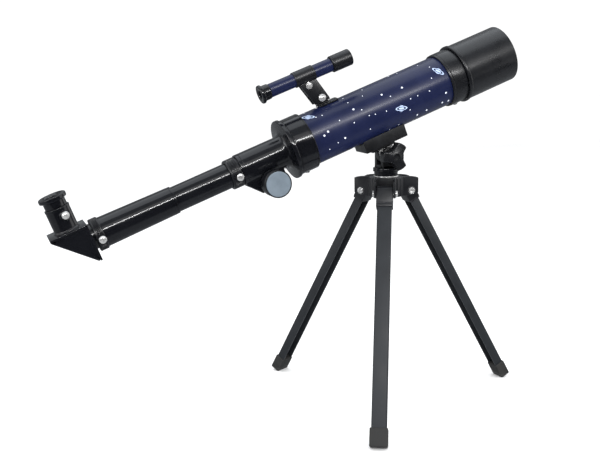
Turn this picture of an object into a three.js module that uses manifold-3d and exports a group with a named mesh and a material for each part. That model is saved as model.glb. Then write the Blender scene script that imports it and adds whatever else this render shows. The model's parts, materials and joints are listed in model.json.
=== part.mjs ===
// A small refracting telescope on a three-legged table tripod, as an assembly of separate parts.
// Millimetres, +Z up. +X is the plan direction that the tube points in, and -Y is the side with
// the clamp knob.
import * as THREE from 'three';
import { mergeVertices } from 'three/addons/utils/BufferGeometryUtils.js';
import Module from 'manifold-3d';

const wasm = await Module();
wasm.setup();

// ---------------------------------------------------------------- driving dimensions
// Stations are measured along the tube from the tilt axis, forward positive. Heights inside the
// telescope are measured from the tube axis unless a name says otherwise.
const gap = 0.3;                 // clearance between pieces that touch or slide
const past = 1;                  // how far a joined or cutting solid runs past a face
const reach = 40;                // longer than anything a through hole crosses

const tripod = {
  pivotHeight: 216.4,            // leg hinge above the floor
  pivotRadius: 23.4,             // leg hinge from the centre line
  splay: 29.4,                   // leg angle from the vertical, degrees
  legLength: 245,                // hinge to the end of the foot
  turn: -27.5,                   // legs turned against the tube, degrees
  pinHole: 2.3,
};
const hub = {
  coreRadius: 16.5, bottom: 211.5, top: 230.7, bore: 3.3, pocketDepth: 14.2,
  earReach: 31.6, earIn: 8.5, earOut: 10.4,
  earRoot: 10.5, earStep: 20.5, earDrop: 2.4, earSlope: 1.6, earSwell: 9,
};
const channel = { width: 14.3, depth: 10, wall: 1.2, start: 7, end: 240 };
const knuckle = {
  radius: 6.4, centre: 2, back: 6, wrap: 154.8, capBottom: 11, skirtTop: 10, skirtBottom: 16, skirtWall: 0.9,
  skirtInset: 0.4, skirtBack: 0.2, plugTop: 6.5, plugBottom: 22, plugBack: 0.4,
};
const foot = { width: 16.9, depth: 11.5, length: 17.3, flat: 1.2, squeeze: 0.1 };
const legPin = { shank: 2, nearRadius: 3.3, nearHeight: 1.9, farRadius: 3, farHeight: 1.6 };

const head = {
  tiltHeight: 252.8, collarRadius: 13, collarTop: 240.3, collarHeight: 4, neckBottom: 232.5, neckStep: 1,
  postX: 8, postY: 10, slotY: 5, slotDepth: 9.9, screwHole: 3.3,
};
const washer = { radius: 12.5, top: 232.2, hole: 3.6 };
const panScrew = { radius: 2.9, headRadius: 5.4, headHeight: 3 };
const elevation = 20.5;          // tube above the horizontal, degrees
const bolt = { radius: 3, hole: 3.3, headRadius: 5.2, headHeight: 4, tip: 20 };
const clampKnob = {
  bossRadius: 6.5, bossLength: 5, radius: 14, back: 14.6, front: 25, biteAt: 19, biteRadius: 11.5,
  dimpleRadius: 4.2, dimpleBottom: 22.6, boreEnd: 20.4,
};

const axisZ = 46.3;              // tube axis above the tilt axis
const tube = { radius: 25.4, wall: 1.2, rear: -91.2, front: 92 };
const saddle = {                 // heights here are above the tilt axis
  rear: -23.7, front: 23.3, halfWidth: 14, bottom: 12.1, top: 24.7,
  rootRear: -16.5, rootFront: 9.5, rootHalf: 10.5, rootBottom: 9.4,
  tongueRadius: 8.8, tongueNear: -2.9, tongueFar: 4.7, tongueStraight: 2,
  screwX: 16, boreRadius: 3.6, boreDepth: 3,
};
const tiltPlate = { radius: 7.8, near: -4.7, far: -3.2, rise: 1.8, slack: 0.3 };
const saddleScrew = { headRadius: 3.2, sink: 0.4 };
const cell = {
  rear: 79.8, radius: 27.3, shoulder: 97.2, spigot: 26, front: 109, bore: 22.6, screwX: 89.6,
};
const lens = { radius: 24, seat: 93.5, edge: 3.4, bulge: 1.8, ringStart: 8, ringBack: 2, ringBore: 22 };
const shield = {
  rear: 97.5, step: 101, front: 155.8, bead: 29.6, radius: 28.6, bore: 26.7, boreStart: 112, socketEnd: 111,
  chamfer: 0.8,
};
const collar = { front: -73.2, radius: 27.9, screwX: -82.5 };
const flange = {
  front: -92.7, rear: -96.7, radius: 29.6, chamfer: 0.8, rootRise: 3, rootRun: 3, rootStep: 0.9,
};
const barrel = { rear: -146.2, radius: 15.5, bore: 14 };
const housing = {
  halfWidth: 8.5, top: -8, rearBottom: -15.5, bottomRear: -135, bottomFront: -110.5,
  front: -106, frontBottom: -21,
  bottom: -26.1, bossRadius: 5, bossStart: 7, bossBack: 1.2,
  pinionRear: -129.6, pinionFront: -115.8, pinionHalf: 6.3, pinionTop: -14.5,
};
const cover = { rear: -134.2, front: -111, bottom: -27.9, top: -26.4 };
const pinion = {
  x: -122.7, z: -20.5, teeth: 12, module: 0.8, pressure: 25, shaft: 2, half: 5.9, backlash: 0.08,
};
const knob = {
  radius: 13.1, cap: 12.3, back: 14.6, front: 31, recess: 1.6, rim: 0.6, chamfer: 0.8, shaftBack: 4, dome: 0.3,
};
const draw = {
  radius: 13.7, bore: 12.6, rear: -148.6, front: -43, spigot: 13.2, spigotEnd: -146.9,
};
const rack = {
  rear: -141, front: -53, halfWidth: 3, top: -13.95, dedendum: 1.25, slotHalf: 3.8, slotBottom: -17.2,
};
const drawRing = {
  rear: -157.9, front: -146.9, radius: 14.6, socket: 13.5, socketRear: -148.9, screwX: -150.6,
};
const erector = { radius: 12.25, bore: 11.3, rear: -225.5, front: -132 };
const erectorBody = {
  front: -213.7, rear: -285.5, frontRadius: 13.3, rearRadius: 14.3, chamfer: 0.5, socket: 12.5, socketEnd: -226,
  bore: 11.4, boreEnd: -277, spigot: 13.9, spigotRear: -287.3,
};
const erectorLens = { front: -240, rear: -266, radius: 11.1, edge: 2, bulge: 1.2 };
const endRing = {
  rear: -294.2, front: -285.8, radius: 15.7, socket: 14.2, socketRear: -287.6, screwX: -289.5,
};
const ringEdge = 0.6;            // chamfer of the clamp rings
const screwDrop = 10;            // the ring thumbscrews point this far below the level, degrees;
const nose = { radius: 12.2, bore: 10.8, rear: -298.7, front: -279 };
const diagonal = {
  x: -314, front: -296.7, rear: -332.2, top: 15.2, bottom: -20, halfWidth: 16.5, wall: 2,
  slopeTop: 12, toe: 3.5,
  coverThickness: 1.8, coverTop: 12.9,
};
const socket = {
  radius: 11.3, bore: 10, top: 38, boreBottom: 5, bossRadius: 4.4, bossHeight: 0.6, bossRoot: 9,
  screwZ: 30, screwTurn: 17,     // clamp screw height, and its turn from the near side to the front
};
const mirror = { halfLength: 17, halfWidth: 13, halfThickness: 1 };
const eyepiece = {
  barrel: 9.7, neck: 10.2, flange: 12.9, bore: 8, wide: 8.4,
  bottom: 20, shoulder: 44.8, top: 49.2, boreStart: 42,
  dish: 9.4, dishDepth: 1.6, chamfer: 0.8, lens: { x: 42.6, radius: 7.7, edge: 1.6, bulge: 1.1 },
};
const finder = { z: 58.2, radius: 6.6, bore: 5.8, rear: -90.4, front: -23.8 };
const finderClamp = {            // the post's corners are [station, height] pairs
  rear: -64.4, front: -43, radius: 7.6, postTop: 6,
  topRear: -61.1, topFront: -43.7, bottomRear: -53.6, bottomFront: -36.6,
  bottom: 29, half: 4.6, slotHalf: 2.7, slotTop: 39, pivotX: -44.6, pivotZ: 33, pivotHole: 2,
  nutX: -52.9, nutZ: 48.6, nutHole: 1.6,
};
const finderFoot = {
  rear: -50, front: -30, half: 6.5, thickness: 1.8, keepBottom: 15, keepTop: 36, lugHalf: 2.4, screwX: -44.5,
  lug: [[-50, 24], [-38, 24], [-38.8, 35], [-41.5, 37.6], [-47.5, 37.6], [-49.5, 35]],
};
const pivotScrew = {
  seat: 4.9, dome: [[0, 3.9], [1, 3.6], [2.2, 2.4], [2.7, 0]], shank: 1.7, end: 7, nut: 3.2, nutEnd: 7.2,
};
const finderNut = { seat: 4.9, top: 6.9, radius: 2.9, stud: 1.3, studRoot: 3, studTop: 7.6 };
const finderEyepiece = {
  rear: -100.7, radius: 9, chamfer: 0.5, discFront: -97.7, collar: 7.6, collarFront: 7.4, plug: 5.5, front: -82,
  bore: 3.6, eye: 4.2, eyeEnd: -98.6,
};
const finderHood = {
  rear: -31, plug: 5.5, bore: 4.6, shoulder: 7.6, radius: 8.1, chamfer: 0.5, front: -2.3, mouth: 6.9, seat: -18,
};
const finderLens = { x: -17.7, radius: 6.6, edge: 1.4, bulge: 0.8 };
const screwHead = { radius: 3.65, height: 3, shank: 1.5, hole: 1.8 };
const nub = { radius: 2.4, height: 1.7, shank: 1.5 };
const fine = 52;                 // sides of the widest round parts
const round = 36;                // sides of the other tubes

// ---------------------------------------------------------------- materials
const finish = (color, roughness, metalness) => new THREE.MeshStandardMaterial({ color, roughness, metalness });
const blackPlastic = finish(0x17181a, 0.35, 0);
const greyPlastic = finish(0x2f3236, 0.65, 0);
const blueMetal = finish(0x1b2250, 0.3, 0.2);
const legMetal = finish(0x3c3f44, 0.5, 0.3);
const rubber = finish(0x141414, 0.85, 0);
const nickel = finish(0xc4c4c2, 0.25, 1);
const capGrey = finish(0x8b98a3, 0.4, 0);
const glass = finish(0xcfe0e6, 0.05, 0);
const mirrorSilver = finish(0xe6e8ea, 0.05, 1);

// ---------------------------------------------------------------- shape helpers
function toSolid(geometry) {
  const bare = new THREE.BufferGeometry();
  bare.setAttribute('position', geometry.getAttribute('position'));
  bare.setIndex(geometry.getIndex());
  const merged = mergeVertices(bare, 1e-4);
  const index = Array.from(merged.getIndex().array);
  const position = merged.getAttribute('position').array;
  const corner = (i) => new THREE.Vector3().fromArray(position, 3 * i);
  let volume = 0;
  const kept = [];
  for (let i = 0; i < index.length; i += 3) {
    const [a, b, c] = index.slice(i, i + 3);
    if (a === b || b === c || c === a) continue;
    kept.push(a, b, c);
    volume += corner(a).dot(corner(b).cross(corner(c)));
  }
  if (volume < 0) kept.reverse();
  return new wasm.Manifold(new wasm.Mesh({
    numProp: 3,
    vertProperties: new Float32Array(position),
    triVerts: new Uint32Array(kept),
  }));
}

function toGeometry(solid) {
  const mesh = solid.getMesh();
  const geometry = new THREE.BufferGeometry();
  geometry.setAttribute('position', new THREE.BufferAttribute(new Float32Array(mesh.vertProperties), 3));
  geometry.setIndex(new THREE.BufferAttribute(new Uint32Array(mesh.triVerts), 1));
  geometry.computeVertexNormals();
  return geometry;
}

// A solid of revolution about the X axis. Each point is [x, radius].
function turnedX(points, segments = 32) {
  const profile = points.map(([x, r]) => new THREE.Vector2(r, x));
  profile.push(profile[0].clone());
  return toSolid(new THREE.LatheGeometry(profile, segments).rotateZ(-Math.PI / 2));
}

// A straight tube or rod about the X axis.
const tubeX = (x0, x1, outer, inner = 0, segments = 32) =>
  turnedX([[x0, inner], [x0, outer], [x1, outer], [x1, inner]], segments);

const rodY = (x, z, radius, y0, y1, segments = 20) =>
  tubeX(y0, y1, radius, 0, segments).rotate([0, 0, 90]).translate([x, 0, z]);

const rodZ = (x, y, radius, z0, z1, segments = 20) =>
  tubeX(z0, z1, radius, 0, segments).rotate([0, -90, 0]).translate([x, y, 0]);

function box(x0, x1, y0, y1, z0, z1) {
  const geometry = new THREE.BoxGeometry(x1 - x0, y1 - y0, z1 - z0);
  return toSolid(geometry.translate((x0 + x1) / 2, (y0 + y1) / 2, (z0 + z1) / 2));
}

// An outline in the XZ plane, carried from y0 to y1.
function plateXZ(points, y0, y1, curveSegments = 12) {
  const shape = points instanceof THREE.Shape ? points
    : new THREE.Shape(points.map(([x, z]) => new THREE.Vector2(x, z)));
  const geometry = new THREE.ExtrudeGeometry(shape, { depth: y1 - y0, bevelEnabled: false, curveSegments });
  return toSolid(geometry.rotateX(Math.PI / 2).translate(0, y1, 0));
}

// A headed pin along +X: the shank starts at `inner`, and the head stands on the surface at `seat`.
function headedPin(seat, inner, size = screwHead) {
  const shank = tubeX(inner, seat + gap, size.shank, 0, 16);
  const rim = seat + size.height * 0.6;
  const end = seat + size.height;
  const edge = size.radius * 0.6;
  const cap = turnedX([[seat, 0], [seat, size.radius], [rim, size.radius], [end, edge], [end, 0]], 16);
  return shank.add(cap);
}

// Turns a pin made along +X so that it points at -Y, `drop` degrees below the level.
const towardsNear = (solid, drop = 0) => solid.rotate([0, 0, -90]).rotate([drop, 0, 0]);

function part(name, solid, material) {
  const mesh = new THREE.Mesh(toGeometry(solid), material);
  mesh.name = name;
  return mesh;
}

const onAxis = (solid) => solid.translate([0, 0, axisZ]);

// ---------------------------------------------------------------- tripod
function earOutline() {
  const { earRoot, earStep, earReach, earDrop, earSlope, earSwell, bottom, top } = hub;
  const shape = new THREE.Shape();
  shape.moveTo(earRoot, bottom);
  shape.lineTo(earStep, bottom);
  shape.lineTo(earReach, bottom + earDrop);
  shape.lineTo(earReach, top - earSlope);
  shape.quadraticCurveTo(earReach - earSwell, top + earSlope, earRoot, top);
  shape.closePath();
  return shape;
}

function makeHub() {
  const { bottom, top, earIn, earOut, pocketDepth } = hub;
  const ears = plateXZ(earOutline(), -earOut, earOut);
  // Each leg head swings in a pocket in the core between its two ears.
  const pocket = box(pocketDepth, reach, -earIn, earIn, bottom - past, top + 2 * past);
  const pinHole = rodY(tripod.pivotRadius, tripod.pivotHeight, tripod.pinHole, -reach, reach);
  let solid = rodZ(0, 0, hub.coreRadius, bottom, top, round);
  for (const angle of [0, 120, 240]) solid = solid.add(ears.rotate([0, 0, angle]));
  for (const angle of [0, 120, 240]) {
    solid = solid.subtract(pocket.rotate([0, 0, angle])).subtract(pinHole.rotate([0, 0, angle]));
  }
  return solid.subtract(rodZ(0, 0, hub.bore, bottom - past, top + past));
}

// Leg parts are made hanging straight down from the hinge, with -X facing the centre.
function makeKnuckle() {
  const { radius, centre, back, wrap, capBottom, skirtTop, skirtBottom, plugTop, plugBottom } = knuckle;
  const width = hub.earIn - gap;
  const cheek = width - knuckle.skirtInset;
  const halfDepth = channel.depth / 2;
  const outside = channel.width / 2 + gap;
  const inside = channel.width / 2 - channel.wall - gap;
  const shape = new THREE.Shape();
  shape.moveTo(-back, -capBottom);
  shape.lineTo(radius, -capBottom);
  shape.lineTo(radius, centre);
  shape.absarc(0, centre, radius, 0, THREE.MathUtils.degToRad(wrap));
  shape.closePath();
  const cap = plateXZ(shape, -width, width);
  const skirt = box(-halfDepth - knuckle.skirtBack, halfDepth + gap + knuckle.skirtWall, -cheek, cheek,
    -skirtBottom, -skirtTop);
  const slot = box(-halfDepth - back, halfDepth + gap, -outside, outside, -reach, -channel.start + gap);
  const plug = box(-halfDepth + knuckle.plugBack, halfDepth - channel.wall - gap, -inside, inside,
    -plugBottom, -plugTop);
  const pinHole = rodY(0, 0, tripod.pinHole, -reach, reach);
  return cap.add(skirt).subtract(slot).add(plug).subtract(pinHole);
}

function makeChannel() {
  const { width, depth, wall, start, end } = channel;
  const outer = box(-depth / 2, depth / 2, -width / 2, width / 2, -end, -start);
  const halfInside = width / 2 - wall;
  const inner = box(-depth / 2 - past, depth / 2 - wall, -halfInside, halfInside, -end - past, -start + past);
  return outer.subtract(inner);
}

function makeFoot() {
  const { width, depth, length, squeeze } = foot;
  const bottom = -tripod.legLength;
  const outer = box(-depth / 2, depth / 2, -width / 2, width / 2, bottom, bottom + length);
  const halfDepth = channel.depth / 2 + gap - squeeze;
  const halfWidth = channel.width / 2 + gap;
  const room = box(-halfDepth, halfDepth, -halfWidth, halfWidth, -channel.end - gap, bottom + length + past);
  // The inner edge of the sole is cut level with the floor, to stand on.
  const tilt = Math.tan(THREE.MathUtils.degToRad(tripod.splay));
  const level = (x) => bottom + foot.flat - (x + depth / 2) * tilt;
  const sole = plateXZ([[-depth, bottom - length], [depth, bottom - length], [depth, level(depth)],
    [-depth, level(-depth)]], -reach, reach);
  return outer.subtract(room).subtract(sole);
}

const makeLegPin = () => {
  const { shank, nearRadius, nearHeight, farRadius, farHeight } = legPin;
  const near = headedPin(hub.earOut + gap, 0, { radius: nearRadius, height: nearHeight, shank });
  const far = headedPin(hub.earOut + gap, 0, { radius: farRadius, height: farHeight, shank });
  return near.add(far.rotate([0, 0, 180])).rotate([0, 0, 90]);
};

function addLeg(group, name, azimuth) {
  const spoke = new THREE.Group();
  spoke.rotation.z = THREE.MathUtils.degToRad(azimuth + tripod.turn);
  const hinge = new THREE.Group();
  hinge.position.set(tripod.pivotRadius, 0, tripod.pivotHeight);
  const leg = new THREE.Group();
  leg.rotation.y = -THREE.MathUtils.degToRad(tripod.splay);
  leg.add(part(`${name}_knuckle`, makeKnuckle(), blackPlastic));
  leg.add(part(`${name}_channel`, makeChannel(), legMetal));
  leg.add(part(`${name}_foot`, makeFoot(), rubber));
  hinge.add(leg);
  hinge.add(part(`${name}_pin`, makeLegPin(), nickel));
  spoke.add(hinge);
  group.add(spoke);
}

// ---------------------------------------------------------------- mount head
function makeTiltPost() {
  const { collarRadius, collarTop, collarHeight, neckBottom, neckStep, tiltHeight, postX, postY, slotY } = head;
  const discBottom = collarTop - collarHeight;
  const neck = rodZ(0, 0, collarRadius - neckStep, neckBottom, discBottom + past, round);
  const disc = rodZ(0, 0, collarRadius, discBottom, collarTop, round);
  const shape = new THREE.Shape();
  shape.moveTo(-postX, collarTop - past);
  shape.lineTo(postX, collarTop - past);
  shape.lineTo(postX, tiltHeight);
  shape.absarc(0, tiltHeight, postX, 0, Math.PI);
  shape.closePath();
  const post = plateXZ(shape, -postY, postY, 24);
  const slot = box(-reach, reach, -slotY, slotY, tiltHeight - head.slotDepth, tiltHeight + reach);
  const screwHole = rodZ(0, 0, head.screwHole, neckBottom - past, collarTop + gap);
  const boltHole = rodY(0, tiltHeight, bolt.hole, -reach, reach);
  return neck.add(disc).add(post).subtract(slot).subtract(screwHole).subtract(boltHole);
}

const makePanWasher = () => rodZ(0, 0, washer.radius, hub.top + gap, washer.top, round)
  .subtract(rodZ(0, 0, washer.hole, hub.top, washer.top + past));

function makePanScrew() {
  const seat = hub.bottom - gap;
  const shank = rodZ(0, 0, panScrew.radius, seat - past, head.collarTop);
  const hexHead = rodZ(0, 0, panScrew.headRadius, seat - panScrew.headHeight - past, seat, 6);
  return shank.add(hexHead);
}

function makeTiltBolt() {
  const seat = head.postY + gap;
  const shank = rodY(0, 0, bolt.radius, -bolt.tip, seat + past);
  const hexHead = rodY(0, 0, bolt.headRadius, seat, seat + bolt.headHeight, 6);
  return shank.add(hexHead);
}

function makeClampKnob() {
  const back = head.postY + gap;
  const { bossRadius, bossLength, radius, front, biteAt, biteRadius, dimpleRadius, dimpleBottom } = clampKnob;
  const boss = rodY(0, 0, bossRadius, -back - bossLength, -back);
  let body = rodY(0, 0, radius, -front, -clampKnob.back, 48);
  for (const angle of [0, 120, 240]) {
    const scallop = rodY(biteAt, 0, biteRadius, -reach, 0, 48);
    body = body.subtract(scallop.rotate([0, angle, 0]));
  }
  const dimple = turnedX([[dimpleBottom, 0], [front, dimpleRadius], [front + past, dimpleRadius],
    [front + past, 0]], 24).rotate([0, 0, -90]);
  return boss.add(body).subtract(dimple).subtract(rodY(0, 0, bolt.hole, -clampKnob.boreEnd, 0));
}

function tongueOutline(radius, rootX, topZ) {
  const shape = new THREE.Shape();
  shape.moveTo(-rootX, topZ);
  shape.lineTo(-radius, saddle.tongueStraight);
  shape.absarc(0, 0, radius, Math.PI, 2 * Math.PI);
  shape.lineTo(rootX, topZ);
  shape.closePath();
  return shape;
}

function makeSaddle() {
  const { rear, front, halfWidth, bottom, top, rootRear, rootFront, rootHalf, rootBottom } = saddle;
  const { tongueRadius, tongueNear, tongueFar, screwX, boreRadius, boreDepth } = saddle;
  const block = box(rear, front, -halfWidth, halfWidth, bottom, top);
  const foundation = box(rootRear, rootFront, -rootHalf, rootHalf, rootBottom, bottom + past);
  const tongue = plateXZ(tongueOutline(tongueRadius, rootFront, bottom + past), tongueNear, tongueFar, 24);
  const cradle = onAxis(tubeX(rear - past, front + past, tube.radius + gap, 0, fine));
  const slotHalf = tiltPlate.radius + tiltPlate.slack;
  const plateSlot = box(-slotHalf, slotHalf, tiltPlate.near - tiltPlate.slack, tongueNear,
    0, bottom + tiltPlate.rise + tiltPlate.slack);
  const boltHole = rodY(0, 0, bolt.hole, -reach, reach);
  const screwHole = rodZ(screwX, 0, screwHead.hole, 0, top);
  const counterbore = rodZ(screwX, 0, boreRadius, 0, bottom + boreDepth);
  return block.add(foundation).add(tongue).subtract(cradle).subtract(plateSlot)
    .subtract(boltHole).subtract(screwHole).subtract(counterbore);
}

function makeTiltPlate() {
  const { radius, near, far, rise } = tiltPlate;
  const shape = new THREE.Shape();
  shape.moveTo(-radius, saddle.bottom + rise);
  shape.lineTo(-radius, 0);
  shape.absarc(0, 0, radius, Math.PI, 2 * Math.PI);
  shape.lineTo(radius, saddle.bottom + rise);
  shape.closePath();
  return plateXZ(shape, near, far, 20).subtract(rodY(0, 0, bolt.hole, -reach, reach));
}

function makeSaddleScrew() {
  const { bottom, screwX, boreDepth } = saddle;
  const shank = rodZ(screwX, 0, screwHead.shank, bottom + past, axisZ - tube.radius + tube.wall + past);
  const head = rodZ(screwX, 0, saddleScrew.headRadius, bottom + saddleScrew.sink, bottom + boreDepth - gap);
  return shank.add(head);
}

// ---------------------------------------------------------------- main tube and objective
function makeMainTube() {
  const shell = tubeX(tube.rear, tube.front, tube.radius, tube.radius - tube.wall, fine);
  const saddleHole = rodZ(saddle.screwX, 0, screwHead.hole, -reach, 0);
  const footHole = rodZ(finderFoot.screwX, 0, screwHead.hole, 0, reach);
  return onAxis(shell.subtract(saddleHole).subtract(footHole));
}

function makeObjectiveCell() {
  const socketBore = tube.radius + gap;
  const profile = [
    [cell.rear, socketBore], [cell.rear, cell.radius], [cell.shoulder, cell.radius],
    [cell.shoulder, cell.spigot], [cell.front, cell.spigot], [cell.front, lens.radius + gap],
    [lens.seat, lens.radius + gap], [lens.seat, cell.bore],
    [tube.front + gap, cell.bore], [tube.front + gap, socketBore],
  ];
  const hole = rodZ(cell.screwX, 0, screwHead.hole, -reach, 0);
  return onAxis(turnedX(profile, round).subtract(hole));
}

// A biconvex lens about the X axis, each face an arc that bulges by `bulge`.
function makeLens(x, size, segments = 24) {
  const { radius, edge, bulge } = size;
  const steps = 3;
  const points = [[x, 0]];
  for (let i = 1; i <= steps; i += 1) {
    const t = i / steps;
    points.push([x + bulge * t * t, radius * t]);
  }
  for (let i = steps; i >= 1; i -= 1) {
    const t = i / steps;
    points.push([x + edge + 2 * bulge - bulge * t * t, radius * t]);
  }
  points.push([x + edge + 2 * bulge, 0]);
  return turnedX(points, segments);
}

const makeRetainingRing = () => onAxis(
  tubeX(lens.seat + lens.ringStart, cell.front - lens.ringBack, lens.radius, lens.ringBore, round),
);

function makeDewShield() {
  const { rear, step, front, bead, radius, bore, chamfer } = shield;
  const profile = [
    [rear, cell.spigot + gap], [rear, bead - chamfer], [rear + chamfer, bead], [step - chamfer / 2, bead],
    [step, radius], [front - chamfer, radius], [front, radius - chamfer], [front, bore],
    [shield.boreStart, bore], [shield.socketEnd, cell.spigot + gap],
  ];
  return onAxis(turnedX(profile, fine));
}

// A small screw pointing down from the socket that holds an end of the tube.
function makeDownScrew(holder) {
  const pin = headedPin(holder.radius + gap, tube.radius + gap, nub);
  return onAxis(pin.rotate([0, 90, 0]).translate([holder.screwX, 0, 0]));
}

// ---------------------------------------------------------------- focuser
function makeFocuserBody() {
  const { chamfer, rootRise, rootRun, rootStep } = flange;
  const profile = [
    [barrel.rear, barrel.bore], [barrel.rear, barrel.radius], [flange.rear - rootRun, barrel.radius],
    [flange.rear - rootStep, barrel.radius + rootStep], [flange.rear, barrel.radius + rootRise],
    [flange.rear, flange.radius - chamfer], [flange.rear + chamfer, flange.radius],
    [flange.front, flange.radius], [flange.front, collar.radius],
    [collar.front, collar.radius], [collar.front, tube.radius + gap], [tube.rear - gap, tube.radius + gap],
    [tube.rear - gap, barrel.bore],
  ];
  const { x, z } = pinion;
  const { halfWidth, top, bottom, bossRadius, bossBack, pinionRear, pinionFront, pinionHalf } = housing;
  const wedge = plateXZ([[barrel.rear, top], [barrel.rear, housing.rearBottom], [housing.bottomRear, bottom],
    [housing.bottomFront, bottom], [housing.front, housing.frontBottom], [housing.front, top]],
  -halfWidth, halfWidth);
  const boss = rodY(x, z, bossRadius, -knob.back + bossBack, knob.back - bossBack);
  const solid = turnedX(profile, fine).add(wedge).add(boss);
  const bore = tubeX(barrel.rear - past, tube.rear + past, barrel.bore, 0, fine);
  const rackChannel = box(barrel.rear - past, tube.rear + past,
    -rack.slotHalf, rack.slotHalf, rack.slotBottom, 0);
  const pinionRoom = box(pinionRear, pinionFront, -pinionHalf, pinionHalf, bottom - past, housing.pinionTop);
  const shaftHole = rodY(x, z, pinion.shaft + gap, -reach, reach);
  const screwHole = rodZ(collar.screwX, 0, screwHead.hole, -reach, -barrel.radius);
  return onAxis(solid.subtract(bore).subtract(rackChannel).subtract(pinionRoom)
    .subtract(shaftHole).subtract(screwHole));
}

const makePinionCover = () => onAxis(
  box(cover.rear, cover.front, -housing.halfWidth, housing.halfWidth, cover.bottom, cover.top),
);

function makeDrawTube() {
  const { radius, bore, rear, front, spigot, spigotEnd } = draw;
  const profile = [
    [rear, bore], [rear, spigot], [spigotEnd, spigot], [spigotEnd, radius], [front, radius], [front, bore],
  ];
  return onAxis(turnedX(profile, round));
}

// Rack teeth: straight flanks at the pressure angle, tips down.
function makeRack() {
  const { module, pressure, x } = pinion;
  const pitch = Math.PI * module;
  const pitchLine = pinion.z + (pinion.teeth * module) / 2;
  const lean = Math.tan(THREE.MathUtils.degToRad(pressure));
  const half = pitch / 4 - pinion.backlash;
  const tip = pitchLine - module;
  const root = pitchLine + module * rack.dedendum;
  const points = [[rack.rear, rack.top], [rack.rear, root]];
  const first = Math.ceil((rack.rear + pitch - x) / pitch);
  const last = Math.floor((rack.front - pitch - x) / pitch);
  for (let n = first; n <= last; n += 1) {
    const centre = x + n * pitch;
    const atRoot = half + (root - pitchLine) * lean;
    const atTip = half - (pitchLine - tip) * lean;
    points.push([centre - atRoot, root], [centre - atTip, tip], [centre + atTip, tip], [centre + atRoot, root]);
  }
  points.push([rack.front, root], [rack.front, rack.top]);
  return onAxis(plateXZ(points, -rack.halfWidth, rack.halfWidth));
}

// Involute gear outline, with a tooth space facing straight up at the rack tooth.
function gearOutline() {
  const { teeth, module, pressure } = pinion;
  const pitchRadius = (teeth * module) / 2;
  const alpha = THREE.MathUtils.degToRad(pressure);
  const base = pitchRadius * Math.cos(alpha);
  const tip = pitchRadius + module;
  const root = pitchRadius - module * rack.dedendum;
  const involute = (r) => Math.sqrt((r / base) ** 2 - 1) - Math.acos(base / r);
  const halfTooth = Math.PI / (2 * teeth) - pinion.backlash / pitchRadius;
  const halfAt = (r) => halfTooth + involute(pitchRadius) - involute(Math.max(r, base));
  const radii = [root, base, (base + pitchRadius) / 2, pitchRadius, (pitchRadius + tip) / 2, tip];
  const points = [];
  for (let k = 0; k < teeth; k += 1) {
    const centre = Math.PI / 2 + ((k + 0.5) * 2 * Math.PI) / teeth;
    for (const r of radii) points.push([r * Math.cos(centre - halfAt(r)), r * Math.sin(centre - halfAt(r))]);
    for (const r of [...radii].reverse()) {
      points.push([r * Math.cos(centre + halfAt(r)), r * Math.sin(centre + halfAt(r))]);
    }
  }
  return points;
}

function makePinion() {
  const end = knob.front - knob.shaftBack;
  const gear = plateXZ(gearOutline(), -pinion.half, pinion.half);
  const shaft = rodY(0, 0, pinion.shaft, -end, end);
  return onAxis(gear.add(shaft).translate([pinion.x, 0, pinion.z]));
}

function makeFocusKnob(side) {
  const { radius, cap, back, front, recess, rim, chamfer, shaftBack } = knob;
  const profile = [
    [back, 0], [back, radius - chamfer], [back + chamfer, radius], [front - rim, radius], [front, radius - rim],
    [front, cap + gap], [front - recess, cap + gap], [front - recess, 0],
  ];
  const shaftHole = tubeX(0, front - shaftBack + gap, pinion.shaft + gap / 2, 0, 24);
  const body = turnedX(profile, round).subtract(shaftHole);
  return onAxis(body.rotate([0, 0, 90 * side]).translate([pinion.x, 0, pinion.z]));
}

function makeKnobCap(side) {
  const { cap, front, recess, rim, dome } = knob;
  const back = front - recess + gap;
  const top = front + dome;
  const body = turnedX([[back, 0], [back, cap], [front, cap], [top, cap - rim], [top, 0]], round);
  return onAxis(body.rotate([0, 0, 90 * side]).translate([pinion.x, 0, pinion.z]));
}

// A clamping ring about the tube axis with a tapped hole on the near side.
function makeClampRing(ring, bore) {
  const { rear, front, radius, socket: counterbore, socketRear, screwX } = ring;
  const profile = [
    [rear, bore], [rear, radius - ringEdge], [rear + ringEdge, radius], [front - ringEdge, radius],
    [front, radius - ringEdge], [front, counterbore], [socketRear, counterbore], [socketRear, bore],
  ];
  const hole = towardsNear(tubeX(bore - past, radius + past, screwHead.hole, 0, 20), screwDrop);
  return onAxis(turnedX(profile, round).subtract(hole.translate([screwX, 0, 0])));
}

function makeThumbscrew(ring, tip) {
  const screw = towardsNear(headedPin(ring.radius + gap, tip), screwDrop);
  return onAxis(screw.translate([ring.screwX, 0, 0]));
}

// ---------------------------------------------------------------- erecting-lens tube
const makeErectorBarrel = () => onAxis(
  tubeX(erector.rear, erector.front, erector.radius, erector.bore, round),
);

function makeErectorBody() {
  const { front, rear, frontRadius, rearRadius, chamfer, spigot, spigotRear } = erectorBody;
  const { socketEnd, bore, boreEnd } = erectorBody;
  const wide = erectorBody.socket;
  const profile = [
    [front, wide], [front, frontRadius - chamfer], [front - chamfer, frontRadius], [rear, rearRadius],
    [rear, spigot], [spigotRear, spigot], [spigotRear, wide], [boreEnd, wide], [boreEnd, bore],
    [socketEnd, bore], [socketEnd, wide],
  ];
  return onAxis(turnedX(profile, round));
}

// ---------------------------------------------------------------- star diagonal and eyepiece
// Puts something made along -Y on the eyepiece socket's clamp screw.
const atNeckScrew = (solid) =>
  solid.rotate([0, 0, socket.screwTurn]).translate([diagonal.x, 0, socket.screwZ]);

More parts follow.
